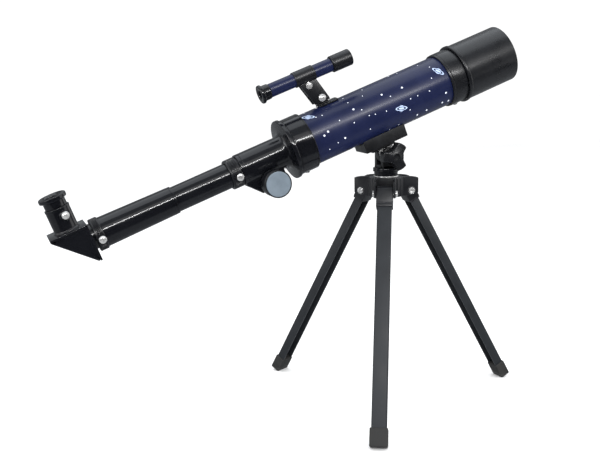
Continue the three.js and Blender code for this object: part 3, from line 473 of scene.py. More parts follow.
def makeShade():
    size = {"lip": 0.7, "bead": 3.5, "beadProud": 1.0, "wall": 1.9, "socketWall": 3.3, "ridgeStart": 4,
            "ridgeEnd": 16.5, "ridgePitch": 1.3, "ridgeDepth": 0.3, "steps": 160}
    low, high = span("dew_shield", tubeFrame)
    bead = (high.z - low.z) / 2
    rear, front = low.x, high.x
    tube = bead - size["beadProud"]
    bore = tube - size["wall"]
    socket, beadEnd = bead - size["socketWall"], rear + size["bead"]
    points = [(rear, socket), (rear, bead - 0.5, 0.3), (rear + 0.6, bead, 0.4), (beadEnd - 0.4, bead, 0.4),
              (beadEnd + 0.3, tube, 0.3), (front, tube, size["lip"]), (front, bore, 0.5)]
    x = front - size["ridgeStart"]
    while x > rear + size["ridgeEnd"]:  # light-trap ridges in the bore
        points += [(x, bore), (x - size["ridgePitch"] * 0.3, bore + size["ridgeDepth"])]
        x -= size["ridgePitch"]
    points += [(x, bore), (x - 0.8, socket)]
    return finished("shade_tube", turned(points, size["steps"]), tubeFrame, satinBlack, "dew_shield",
                    "black_plastic", "dew_shield")


def lensShape(rear, front, reach, bulge, steps=96):
    points = [(rear + bulge * (i / 8) ** 2, reach * i / 8) for i in range(9)]
    points += [(front - bulge * (i / 8) ** 2, reach * i / 8) for i in range(8, -1, -1)]
    return turned(points, steps)


def makeObjective():
    size = {"bulge": 1.8, "ringWall": 2, "thread": 0.25, "pitch": 0.7, "steps": 120}
    low, high = span("objective_lens", tubeFrame)
    finished("front_lens", lensShape(low.x, high.x, (high.z - low.z) / 2, size["bulge"]), tubeFrame, glass,
             "telescope", "lens_glass", "objective_lens")
    low, high = span("lens_retaining_ring", tubeFrame)
    reach = (high.z - low.z) / 2
    points = [(low.x, reach - size["ringWall"]), (low.x, reach)]
    x = low.x + 0.6
    while x < high.x - 1.2:  # the thread it screws in by
        points += [(x, reach), (x + size["thread"], reach - size["thread"]),
                   (x + 2 * size["thread"], reach)]
        x += size["pitch"]
    points += [(high.x, reach, 0.2), (high.x, reach - 1.2, 0.2), (high.x - 1, reach - size["ringWall"])]
    finished("lens_ring", turned(points, size["steps"]), tubeFrame, satinBlack, "telescope",
             "black_plastic", "lens_retaining_ring")


def downScrew(name, node, body):
    size = {"tall": 1.7, "rim": 0.35, "slot": 0.4, "depth": 0.8, "shank": 1.4, "sunk": 1.5, "steps": 40}
    low, high = span(node, tubeFrame)
    centre = (low.x + high.x) / 2
    reach = (high.x - low.x) / 2
    tall, shank = size["tall"], size["shank"]
    shape = turned([(-size["sunk"], 0), (-size["sunk"], shank), (0, shank), (0, reach, 0.2),
                    (tall * 0.55, reach, size["rim"]), (tall, reach * 0.55, 0.2), (tall, 0)], size["steps"])
    slotted(shape, tall * 0.5, size["slot"], size["depth"], reach * 0.8)
    place = tubeFrame @ at(centre, 0, low.z + tall) @ towardsDown
    finished(name, shape, place, nickel, body, "nickel", node)


makeTube()
makeCell()
makeShade()
makeObjective()
downScrew("cell_nub", "cell_screw", "telescope")
downScrew("collar_nub", "focuser_screw", "telescope")
print("tube, cell and dew shield made")


# Focuser
def makeFocuser():
    size = {"bore": 14, "barrel": 15.5, "flange": 23.5, "collarStep": 1.7, "collarWall": 2.2,
            "socket": 18.3, "root": 3.0, "boss": 5.0, "wall": 8.5, "cheekIn": 6.4, "steps": 144}
    housing = {"bottom": -26.1, "slotEnd": -17.3, "cheekTop": -12.7, "heel": 12.3, "toe": 12.2,
               "nose": 16.7, "noseBottom": -21, "room": 7.1, "ledge": (-13.2, -11.4), "ledgeEnd": 19.5}
    low, high = span("focuser_body", tubeFrame)
    rim = high.z
    rear, front = low.x, high.x
    bore, barrel, collar = size["bore"], size["barrel"], rim - size["collarStep"]
    flange, socketEnd = front - size["flange"], front - size["socket"]
    shell = turned([
        (rear, bore), (rear, barrel, 0.5), (rear + 3.2, barrel), (rear + 3.5, barrel - 0.25),
        (rear + 3.8, barrel), (flange - size["root"] - 1, barrel, 1.5), (flange - 0.9, barrel + 1.6, 1.2),
        (flange, barrel + 5), (flange, rim, 0.9), (flange + 4, rim, 0.9),
        (flange + 4.3, collar - 0.35, 0.15), (flange + 5.2, collar - 0.35, 0.15),
        (flange + 5.4, collar, 0.2), (front - 2.2, collar), (front - 2.0, collar - 0.3),
        (front - 1.6, collar - 0.3), (front - 1.4, collar), (front, collar, 0.7),
        (front, collar - size["collarWall"]), (socketEnd, collar - size["collarWall"]),
        (socketEnd, bore)], size["steps"])
    knobLow, knobHigh = span("focus_knob_near", tubeFrame)
    shaftX, shaftZ = (knobLow.x + knobHigh.x) / 2, (knobLow.z + knobHigh.z) / 2
    wall = size["wall"]
    # pinion housing: two end walls, two cheeks and two ledges, clear of the bore and of the rack's slot
    bottom, slotEnd, noseBottom = housing["bottom"], housing["slotEnd"], housing["noseBottom"]
    heel, toe, nose = shaftX - housing["heel"], shaftX + housing["toe"], shaftX + housing["nose"]
    roomRear, roomFront, cheekTop = shaftX - housing["room"], shaftX + housing["room"], housing["cheekTop"]
    ledgeBottom, ledgeTop = housing["ledge"]
    walls = [
        plate([(rear + 2.2, slotEnd), (heel, bottom), (roomRear, bottom), (roomRear, slotEnd)],
              -wall + 1, wall - 1, 0),
        plate([(roomFront, slotEnd), (roomFront, bottom), (toe, bottom), (nose, noseBottom),
               (nose, slotEnd)],
              -wall + 1, wall - 1, 0)]
    for side in (-1, 1):
        inner, outer = sorted((side * size["cheekIn"], side * wall))
        walls.append(plate([(rear + 0.3, cheekTop), (rear + 0.3, -15.5), (heel, bottom), (toe, bottom),
                            (nose, noseBottom), (nose, cheekTop)], inner, outer, 0.9))
        inner, outer = sorted((side * (wall - 0.2), side * (wall + 1.3)))
        ledgeEnd = shaftX + housing["ledgeEnd"]
        walls.append(plate([(rear + 1.2, ledgeTop), (rear + 1.2, ledgeBottom), (ledgeEnd, ledgeBottom),
                            (ledgeEnd, ledgeTop)], inner, outer, 0.4))
    bossPoints = [(6, 0), (6, size["boss"] + 1.4, 0.3), (10.2, size["boss"] + 0.6, 0.5),
                  (13.2, size["boss"] - 0.2, 0.4), (13.2, 0)]
    bosses = [moved(turned(bossPoints, 48), at(shaftX, 0, shaftZ) @ towardsSide(side)) for side in (-1, 1)]
    finished("focuser_shell", joined(shell, *walls, *bosses), tubeFrame, glossBlack, "telescope",
             "black_plastic", "focuser_body")


def makeCover():
    size = {"screw": 1.5, "inset": 3.0}
    low, high = span("pinion_cover", tubeFrame)
    lid = block(low, high, 0.5)
    screws = []
    for x in (low.x + size["inset"], high.x - size["inset"]):
        for y in (low.y + size["inset"], high.y - size["inset"]):
            head = turned([(0, 0), (0, size["screw"], 0.1), (0.35, size["screw"] * 0.8, 0.15), (0.45, 0)],
                          24)
            screws.append(moved(head, at(x, y, low.z + 0.05) @ towardsDown))
    finished("housing_cover", lid, tubeFrame, glossBlack, "telescope", "black_plastic", "pinion_cover")
    finished("housing_cover_screws", joined(*screws), tubeFrame, nickel, "telescope", "nickel")


def makeKnobs():
    size = {"ribs": 66, "ribGap": 0.2, "ribHeight": 0.34, "rim": 0.45, "dish": 12.6, "dishDepth": 1.6,
            "face": 12.0, "faceSteps": 120}
    for side, name in ((-1, "near"), (1, "far")):
        low, high = span("focus_knob_" + name, tubeFrame)
        reach = (high.z - low.z) / 2
        back, front = (-high.y, -low.y) if side < 0 else (low.y, high.y)
        base = reach - size["ribHeight"]
        place = tubeFrame @ at((low.x + high.x) / 2, 0, (low.z + high.z) / 2) @ towardsSide(side)
        dish, floor, faceReach = size["dish"], front - size["dishDepth"], size["face"]
        shape = turned([(back, 0), (back, base - 1.5, 0.4), (back + 1.5, base, 0.4), (back + 2.4, base),
                        (front - 3.0, base), (front - 2.4, base - 0.3, 0.2), (front - 1.9, base - 0.3, 0.2),
                        (front - 1.5, reach, 0.25), (front, reach, size["rim"]), (front, dish, 0.15),
                        (floor, dish), (floor, 0)],
                        size["ribs"])
        ribbed(shape, back + 2.5, front - 3.1, base - 0.5, size["ribGap"], size["ribHeight"])
        finished("focus_wheel_" + name, shape, place, satinBlack, "focus_drive", "black_plastic",
                 "focus_knob_" + name)
        cap = turned([(front - 1.3, 0), (front - 1.3, faceReach), (front - 0.1, faceReach, 0.3),
                      (front + 0.05, faceReach - 0.8, 0.3), (front + 0.3, 0)], size["faceSteps"])
        finished("focus_wheel_cap_" + name, cap, place, capGrey, "focus_drive", "knob_cap",
                 "focus_knob_cap_" + name)


makeFocuser()
makeCover()
makeKnobs()
print("focuser made")


# Draw tube, erecting tube and their clamp rings
def ringShape(rear, front, reach, bore, ribs):
    size = {"height": 0.5, "gap": 0.3, "land": 1.8, "rows": 3}
    base = reach - size["height"]
    start, end = rear + size["land"] + 0.2, front - size["land"] - 0.2
    rows = [(start + (end - start) * i / size["rows"], base) for i in range(size["rows"] + 1)]
    shape = turned([(rear, bore), (rear, reach - 0.6, 0.3), (rear + 0.7, reach, 0.3),
                    (rear + size["land"], reach, 0.1), *rows, (front - size["land"], reach, 0.1),
                    (front - 0.7, reach, 0.3), (front, reach - 0.6, 0.3), (front, bore)], ribs)
    return ribbed(shape, start, end, base - 0.4, size["gap"], size["height"])


def makeDraw():
    size = {"ribs": 60, "steps": 128}
    low, high = span("draw_tube", tubeFrame)
    reach = (high.z - low.z) / 2
    sleeve = turned([(low.x, reach - 1.1), (low.x, reach - 0.5, 0.1), (low.x + 1.7, reach - 0.5),
                     (low.x + 1.7, reach), (high.x, reach, 0.3), (high.x, reach - 1.1)], size["steps"])
    finished("draw_sleeve", sleeve, tubeFrame, glossBlack, "draw", "black_plastic", "draw_tube")
    low, high = span("draw_collar", tubeFrame)
    finished("draw_ring", ringShape(low.x, high.x, (high.z - low.z) / 2, 12.6, size["ribs"]), tubeFrame,
             satinBlack, "draw", "black_plastic", "draw_collar")


def makeErector():
    size = {"ribs": 66, "steps": 128}
    low, high = span("erector_barrel", tubeFrame)
    reach = (high.z - low.z) / 2
    finished("erector_sleeve", turned([(low.x, reach - 0.95), (low.x, reach, 0.2), (high.x, reach, 0.2),
                                       (high.x, reach - 0.95)],
                                      size["steps"]), tubeFrame, glossBlack, "erector", "black_plastic",
                                      "erector_barrel")
    low, high = span("erector_body", tubeFrame)
    rear, front = low.x + 1.8, high.x
    wide = (high.z - low.z) / 2
    slim = wide - 1.0
    shape = turned([(front, slim - 0.8), (front, slim, 0.35), (front - 1.6, slim + 0.02),
                    (front - 1.8, slim - 0.2), (front - 2.2, slim - 0.2), (front - 2.4, slim + 0.04),
                    (rear, wide), (rear, wide - 0.4), (low.x, wide - 0.4), (low.x, wide - 1.8),
                    (rear + 9, wide - 1.8), (rear + 9, wide - 2.9), (front - 12.3, wide - 2.9),
                    (front - 12.3, slim - 0.8)], size["steps"])
    finished("erector_tube", shape, tubeFrame, glossBlack, "erector", "black_plastic", "erector_body")
    low, high = span("erector_socket", tubeFrame)
    finished("erector_ring", ringShape(low.x, high.x, (high.z - low.z) / 2, 12.5, size["ribs"]), tubeFrame,
             satinBlack, "erector", "black_plastic", "erector_socket")


def makeThumbscrew(name, node, body):  # a domed slotted head on a short shank
    size = {"slot": 0.6, "depth": 1.2, "collar": 0.6}
    pin = Vector(joints[body + "_turn"]["axis"]).normalized()
    pinFrame = frameAt(joints[body + "_turn"]["pos_m"], pin, pin.cross((1, 0, 0)).cross(pin))
    low, high = span(node, pinFrame)
    if abs(low.x) > abs(high.x):
        pinFrame = frameAt(joints[body + "_turn"]["pos_m"], -pin, pin.cross((1, 0, 0)).cross(-pin))
        low, high = span(node, pinFrame)
    reach = (high.y - low.y) / 2
    tip = high.x
    seat = tip - 3.0
    shape = turned([(low.x, 0), (low.x, 1.4), (seat, 1.4), (seat, reach - 0.3, 0.15),
                    (seat + size["collar"], reach, 0.2), (tip - 1.1, reach, 0.6),
                    (tip - 0.25, reach * 0.62, 0.5), (tip, reach * 0.3, 0.3), (tip, 0)], 48)
    slotted(shape, tip - 1.0, size["slot"], size["depth"], reach * 0.72)
    finished(name, shape, pinFrame, nickel, body, "nickel", node)


makeDraw()
makeErector()
makeThumbscrew("draw_ring_screw", "draw_thumbscrew", "draw_screw")
makeThumbscrew("erector_ring_screw", "erector_thumbscrew", "erector_screw")
print("draw and erecting tubes made")


# Star diagonal and eyepiece
def makeDiagonal():
    size = {"half": 16.5, "skin": 2.0, "proud": 0.7, "panel": 2.2, "neck": 11.3, "boss": 4.4}
    low, high = span("diagonal_body", tubeFrame)
    rear, front, bottom = low.x, high.x, low.z
    socketTop, deck = high.z, 15.2
    half, skin = size["half"], size["skin"]
    roof = block((rear, -half, deck - skin), (front, half, deck), 0.45)
    face = block((front - skin, -half, bottom), (front, half, deck - 0.3), 0.45)
    sides = []
    for side in (-1, 1):
        outer = side * (half - size["proud"])
        wall = plate([(rear + 0.8, deck - 1), (front - 1, deck - 1), (front - 1, bottom + 0.8),
                      (front - 3.4, bottom + 0.8), (rear + 0.8, 12.3)], min(outer,
                      outer - side * skin), max(outer, outer - side * skin),
                      0.35)
        panel = max(wall.faces, key=lambda f: f.calc_area() * (f.normal.y * side > 0.9))
        bmesh.ops.inset_region(wall, faces=[panel], thickness=size["panel"], depth=0, use_even_offset=True)
        bmesh.ops.inset_region(wall, faces=[panel], thickness=0.3, depth=-0.45, use_even_offset=True)
        sides.append(wall)
    eyeLow, eyeHigh = span("eyepiece_body", tubeFrame)
    centre = (eyeLow.x + eyeHigh.x) / 2
    neck = moved(turned([(deck - 1, 10), (deck - 1, size["neck"] + 1.2, 0.3),
                         (deck + 0.8, size["neck"] + 1.0, 0.4), (deck + 1.6, size["neck"], 0.5),
                         (socketTop - 2.2, size["neck"]), (socketTop - 1.9, size["neck"] + 0.25, 0.1),
                         (socketTop, size["neck"] + 0.25, 0.5), (socketTop, 10, 0.3)], 120),
                         at(centre, 0, 0) @ towardsUp)
    screwLow, screwHigh = span("diagonal_thumbscrew", tubeFrame)
    screwTurn = Matrix.Rotation(asin(Vector(joints["diagonal_screw_turn"]["axis"]).dot(aim)), 4, "Z")
    boss = moved(turned([(9, 0), (9, size["boss"] + 0.6), (10.6, size["boss"] + 0.5, 0.3),
                         (11.9, size["boss"], 0.4), (11.9, 2.0), (11.0, 1.8), (11.0, 0)], 48),
                 at(centre, 0, (screwLow.z + screwHigh.z) / 2) @ screwTurn @ towardsNear)
    finished("diagonal_shell", joined(roof, face, *sides, neck, boss), tubeFrame, glossBlack, "diagonal",
             "black_plastic", "diagonal_body")
    slope = plate([(rear, 12), (rear, 13), (rear + 1.7, 13), (front - 2.3, bottom + 2.5),
                   (front - 2.3, bottom),
                   (front - 3.5, bottom)], -(half - skin - 0.3), half - skin - 0.3, 0.3)
    finished("diagonal_back", slope, tubeFrame, glossBlack, "diagonal", "black_plastic", "diagonal_cover")


def makeNose():
    low, high = span("diagonal_nosepiece", tubeFrame)
    reach = (high.z - low.z) / 2
    shape = turned([(low.x, reach - 1.4), (low.x, reach), (high.x - 3, reach), (high.x - 2.6, reach - 0.4),
                    (high.x - 1.4, reach - 0.4), (high.x - 1, reach), (high.x, reach, 0.3),
                    (high.x, reach - 1.4)], 96)
    finished("diagonal_nose", shape, tubeFrame, glossBlack, "diagonal", "black_plastic",
             "diagonal_nosepiece")


def makeEyepiece():
    size = {"dish": 1.7}
    low, high = span("eyepiece_body", tubeFrame)
    centre, reach = (low.x + high.x) / 2, (high.y - low.y) / 2
    bottom, top = low.z, high.z
    neckAt, shoulder = bottom + 18.3, top - 4.4
    shape = turned([(bottom, 8.4), (bottom, 9.7, 0.3), (neckAt, 9.7), (neckAt, 10.2, 0.2),
                    (shoulder - 0.6, 10.2), (shoulder, 10.7, 0.3), (shoulder + 0.3, reach - 0.2, 0.4),
                    (shoulder + 1.2, reach, 0.4), (top - 0.8, reach, 0.3), (top, reach - 0.8, 0.35),
                    (top - 0.4, reach - 2.0, 0.5), (top - size["dish"], 8.2, 0.4),
                    (top - size["dish"] - 1.0, 8.0), (bottom + 22, 8.0), (bottom + 22, 8.4)], 120)
    finished("eyepiece_shell", shape, tubeFrame @ at(centre, 0, 0) @ towardsUp, glossBlack, "eyepiece",
             "black_plastic", "eyepiece_body")


makeDiagonal()
makeNose()
makeEyepiece()
makeThumbscrew("diagonal_neck_screw", "diagonal_thumbscrew", "diagonal_screw")
print("star diagonal and eyepiece made")


# Finder
def makeFinder():
    size = {"steps": 96}
    low, high = span("finder_tube", finderFrame)
    reach = (high.z - low.z) / 2
    finished("finder_barrel", turned([(low.x, reach - 0.8), (low.x, reach, 0.2), (high.x, reach, 0.2),
                                      (high.x, reach - 0.8)],
                                     size["steps"]), finderFrame, plainLacquer, "finder", "blue_lacquer",
                                     "finder_tube")
    low, high = span("finder_eyepiece", finderFrame)
    reach, rear, front = (high.z - low.z) / 2, low.x, low.x + 10
    shape = turned([(rear + 0.6, 4.0), (rear, 6.5, 0.4), (rear, reach - 0.6, 0.4), (rear + 0.6, reach, 0.4),
                    (rear + 2.8, reach, 0.4), (rear + 3.6, reach - 1.5, 0.5), (front - 1, 7.4),
                    (front, 7.1, 0.3), (front, 5.5), (high.x, 5.5), (high.x, 3.6),
                    (rear + 2.1, 3.6)], size["steps"])
    finished("finder_ocular", shape, finderFrame, glossBlack, "finder", "black_plastic", "finder_eyepiece")
    low, high = span("finder_hood", finderFrame)
    reach, front = (high.z - low.z) / 2, high.x
    rear = front - 21.2
    shape = turned([(low.x, 4.6), (low.x, 5.5), (rear, 5.5), (rear, reach - 0.6, 0.3),
                    (rear + 0.7, reach, 0.3), (rear + 2.0, reach), (rear + 2.2, reach - 0.25),
                    (rear + 2.6, reach - 0.25), (rear + 2.8, reach), (front - 0.5, reach, 0.4),
                    (front, reach - 0.6, 0.3), (front, 6.9, 0.3), (front - 15.7, 6.9), (front - 15.7, 4.6)],
                    size["steps"])
    finished("finder_shade", shape, finderFrame, satinBlack, "finder", "black_plastic", "finder_hood")


def makeBracket():
    size = {"soft": 0.55, "half": 4.6, "slot": 2.7}
    low, high = span("finder_bracket", tubeFrame)
    ringZ = (finderLow.z + finderHigh.z) / 2
    reach = (high.y - low.y) / 2
    rear, front = low.x, low.x + 21.4
    sleeve = moved(turned([(rear, 6.9), (rear, reach, 0.5), (rear + 1.6, reach), (rear + 1.8, reach - 0.25),
                           (rear + 2.2, reach - 0.25), (rear + 2.4, reach), (front - 2.4, reach),
                           (front - 2.2, reach - 0.25), (front - 1.8, reach - 0.25), (front - 1.6, reach),
                           (front, reach, 0.5), (front, 6.9)], 96), at(0, 0, ringZ))
    half, slot = size["half"], size["slot"]
    lean = 8.3 / 23.2
    topZ, slotZ, bottomZ = ringZ - 6, low.z + 10, low.z
    rearTop, frontTop = rear + 3.3, rear + 20.7

    def across(z):  # the post leans forward as it goes down
        return (topZ - z) * lean
    filler = plate([(rearTop + 0.6, topZ), (frontTop - 0.6, topZ),
                    (frontTop + across(slotZ) * 0.86 - 0.6, slotZ),
                    (rearTop + across(slotZ) * 0.9 + 0.6, slotZ)], -slot - 0.3, slot + 0.3, 0)
    cheeks = []
    for side in (-1, 1):
        low2, high2 = sorted((side * half, side * slot))
        cheeks.append(plate([(rearTop, topZ), (frontTop, topZ),
                             (frontTop + across(bottomZ + 2) * 0.86, bottomZ + 2),
                             (frontTop + across(bottomZ) * 0.8, bottomZ),
                             (rearTop + across(bottomZ) * 0.93, bottomZ)], low2, high2, size["soft"]))
    finished("finder_clamp", joined(sleeve, filler, *cheeks), tubeFrame, satinBlack, "finder",
             "black_plastic", "finder_bracket")
    low, high = span("finder_nut", tubeFrame)
    centre = ((low.x + high.x) / 2, (low.z + high.z) / 2)
    nut = turned([(4.9, 0), (4.9, 2.75, 0.2), (6.9, 2.75, 0.35), (6.9, 1.3), (7.5, 1.2, 0.2), (7.5, 0)], 6)
    tip = turned([(5, 0), (5, 1.3), (7.6, 1.3, 0.3), (7.6, 0)], 32)
    collar = turned([(4.7, 0), (4.7, 3.3, 0.1), (5.3, 3.3, 0.2), (5.3, 0)], 40)
    finished("bracket_nut", joined(nut, tip, collar), tubeFrame @ at(centre[0], 0, centre[1]) @ towardsNear,
             nickel, "finder", "nickel", "finder_nut", smooth=30)


def makeShoe():
    size = {"thick": 1.8, "half": 6.5, "soft": 0.4}
    low, high = span("finder_foot", tubeFrame)
    inner = (tubeHigh.z - tubeLow.z) / 2 + 0.3
    outer = inner + size["thick"]
    lean = asin(size["half"] / outer)
    outline = [(outer * sin(a), outer * cos(a)) for a in [lean * (i / 8 - 1) for i in range(17)]]
    outline += [(inner * sin(a), inner * cos(a)) for a in [lean * (1 - i / 8) for i in range(17)]]
    strip = moved(plate(outline, -high.x, -low.x, size["soft"]), towardsFar)
    pivotLow, pivotHigh = span("finder_pivot_screw", tubeFrame)
    pivotX, pivotZ = (pivotLow.x + pivotHigh.x) / 2, (pivotLow.z + pivotHigh.z) / 2
    lug = plate([(pivotX - 6.6, inner + 0.6), (pivotX + 6.4, inner + 0.6)]
                + arc(4.3, 0, 180, 12, pivotX, pivotZ + 0.2), -2.4, 2.4, 0.4)
    finished("finder_shoe", joined(strip, lug), tubeFrame, satinBlack, "telescope", "black_plastic",
             "finder_foot")
    dome = turned([(4.9, 0), (4.9, 3.9, 0.25), (5.7, 3.75, 0.4), (7.0, 2.5, 0.8), (7.6, 0.9, 0.5),
                   (7.6, 0)], 48)
    slotted(dome, 6.3, 0.4, 0.7, 2.4)
    tail = turned([(-7, 0), (-7, 1.7, 0.2), (5.2, 1.7), (5.2, 0)], 32)
    nut = turned([(-7.2, 0), (-7.2, 3.05, 0.3), (-4.9, 3.05, 0.2), (-4.9, 0)], 6)
    finished("pivot_screw", joined(dome, tail, nut), tubeFrame @ at(pivotX, 0, pivotZ) @ towardsNear,
             nickel, "telescope", "nickel", "finder_pivot_screw", smooth=30)


makeFinder()
makeBracket()
makeShoe()
print("finder made")


# Saddle, tilt post and clamp knob
def makeSaddle():
    size = {"half": 14, "soft": 0.9}
    low, high = span("saddle", tiltFrame)
    axisZ = (tubeLow.z + tubeHigh.z) / 2
    cradle = (tubeHigh.z - tubeLow.z) / 2 + 0.3
    rear, front = low.x, high.x
    bottom, half = 12.1, size["half"]
    lean = asin(half / cradle)
    outline = [(-half, bottom), (half, bottom)]
    outline += [(cradle * sin(a),
                 axisZ - cradle * cos(a)) for a in [lean * (1 - i / 10) for i in range(21)]]
    cradleBlock = moved(plate(outline, -front, -rear, size["soft"]), towardsFar)
    root = block((-16.5, -10.5, 9.4), (9.5, 10.5, bottom + 1), 0.8)
    tongue = plate([(9.5, 13), (-9.5, 13), (-8.8, 2)] + arc(8.8, 180, 360, 24) + [(8.8, 2)], -2.9, 4.7, 0.5)
    finished("saddle_block", joined(cradleBlock, root, tongue), tiltFrame, mountGrey, "telescope",
             "grey_plastic", "saddle")


def makePost():
    size = {"soft": 0.7, "cheek": 5.0}
    low, high = span("tilt_post", headFrame)
    reach = (high.x - low.x) / 2
    deck = -12.5
    disc = moved(turned([(low.z, 3.3), (low.z, reach - 1.2, 0.3), (deck - 4.2, reach - 1.2),
                         (deck - 3.9, reach, 0.5), (deck - 2.2, reach, 0.2), (deck - 2.0, reach - 0.3),
                         (deck - 1.7, reach, 0.2), (deck, reach, 0.8), (deck, 3.3)], 120), towardsUp)
    base = block((-8, -10, deck - 1), (8, 10, -9.9), 0.6)
    cheeks = []
    for side in (-1, 1):
        inner, outer = sorted((side * size["cheek"], side * 10))
        cheeks.append(plate([(8, deck - 0.6)] + arc(8, 0, 180, 24) + [(-8, deck - 0.6)], inner, outer,
                            size["soft"]))
    finished("pan_collar", disc, headFrame, glossBlack, "pan_head", "black_plastic")
    finished("mount_post", joined(base, *cheeks), headFrame, mountGrey, "pan_head", "grey_plastic",
             "tilt_post")


def makeClampKnob():
    size = {"lobe": 14, "bite": 11.5, "biteAt": 19, "steps": 180, "edge": 1.2, "dish": 4.2}
    low = span("tilt_clamp_knob", headFrame)[0]
    outerY, innerY = low.y, low.y + 10.4

    def reachAt(angle):
        nearest = min((abs((angle - bite + pi) % (2 * pi) - pi) for bite in (0, 2 * pi / 3, 4 * pi / 3)))
        across = size["biteAt"] * sin(nearest)
        if across >= size["bite"] or nearest > pi / 2:
            return size["lobe"]
        return min(size["lobe"], size["biteAt"] * cos(nearest) - sqrt(size["bite"] ** 2 - across ** 2))
    shape = bmesh.new()
    rim = bmesh.ops.create_circle(shape, cap_ends=False, radius=1, segments=size["steps"])["verts"]
    for vertex in rim:  # a circle with three bites out of it
        angle = atan2(vertex.co.y, vertex.co.x)
        reach = reachAt(angle)
        vertex.co = (reach * cos(angle), reach * sin(angle), 0)
    for _ in range(3):
        bmesh.ops.smooth_vert(shape, verts=shape.verts, factor=0.5, use_axis_x=True, use_axis_y=True)
    face = shape.faces.new(rim)
    carried = bmesh.ops.extrude_face_region(shape, geom=[face])["geom"]
    topVerts = [item for item in carried if isinstance(item, bmesh.types.BMVert)]
    bmesh.ops.translate(shape, verts=topVerts, vec=(0, 0, innerY - outerY))
    topFace = [item for item in carried if isinstance(item, bmesh.types.BMFace)][0]
    outline = topFace.edges[:]
    bmesh.ops.delete(shape, geom=[topFace], context="FACES_ONLY")
    hole = bmesh.ops.create_circle(shape, cap_ends=True, radius=size["dish"], segments=size["steps"],
                                   matrix=Matrix.Translation((0, 0, innerY - outerY + 0.5)))["verts"]
    bottomFace = hole[0].link_faces[0]
    bmesh.ops.bridge_loops(shape, edges=outline + bottomFace.edges[:])
    bmesh.ops.inset_region(shape, faces=[bottomFace], thickness=0.5, depth=0.25, use_even_offset=True)
    bmesh.ops.inset_region(shape, faces=[bottomFace], thickness=0.5, depth=-1.6, use_even_offset=True)
    bmesh.ops.inset_region(shape, faces=[bottomFace], thickness=1.6, depth=-0.3, use_even_offset=True)
    bmesh.ops.recalc_face_normals(shape, faces=shape.faces)
    wide = [edge for edge in shape.edges if edge.is_manifold and edge.calc_face_angle(0) > radians(60)
            and min(hypot(v.co.x, v.co.y) for v in edge.verts) > 8]
    bmesh.ops.bevel(shape, geom=wide, offset=size["edge"], segments=5, profile=0.5, affect="EDGES",
                    material=-1)
    # made along +Z, turned to face -Y with a bite towards +X
    knob = moved(shape, at(0, innerY, 0) @ tipped)
    boss = moved(turned([(10.3, 3.3), (10.3, 6.5, 0.3), (-innerY + 0.5, 6.5), (-innerY + 0.5, 3.3)], 64),
                 towardsNear)
    finished("clamp_wheel", joined(knob, boss), headFrame, satinBlack, "clamp_knob", "grey_plastic",
             "tilt_clamp_knob")


makeSaddle()
makePost()
makeClampKnob()
print("mount head made")


# Tripod
def legPlace(name):
    hinge = Vector(joints[name + "_fold"]["pos_m"])
    points = sorted((v.co for v in cadNodes[name + "_channel"].data.vertices),
                    key=lambda p: (p - hinge).length)
    half = len(points) // 2
    shallow = sum(points[:half], Vector()) / half
    deep = sum(points[half:], Vector()) / (len(points) - half)
    along = (shallow - deep).normalized()
    outward = hinge - panAt
    outward.z = 0
    tangent = up.cross(outward).normalized()
    along = (along - tangent * along.dot(tangent)).normalized()
    return frameAt(hinge, tangent.cross(along), along), outward.normalized(), hinge


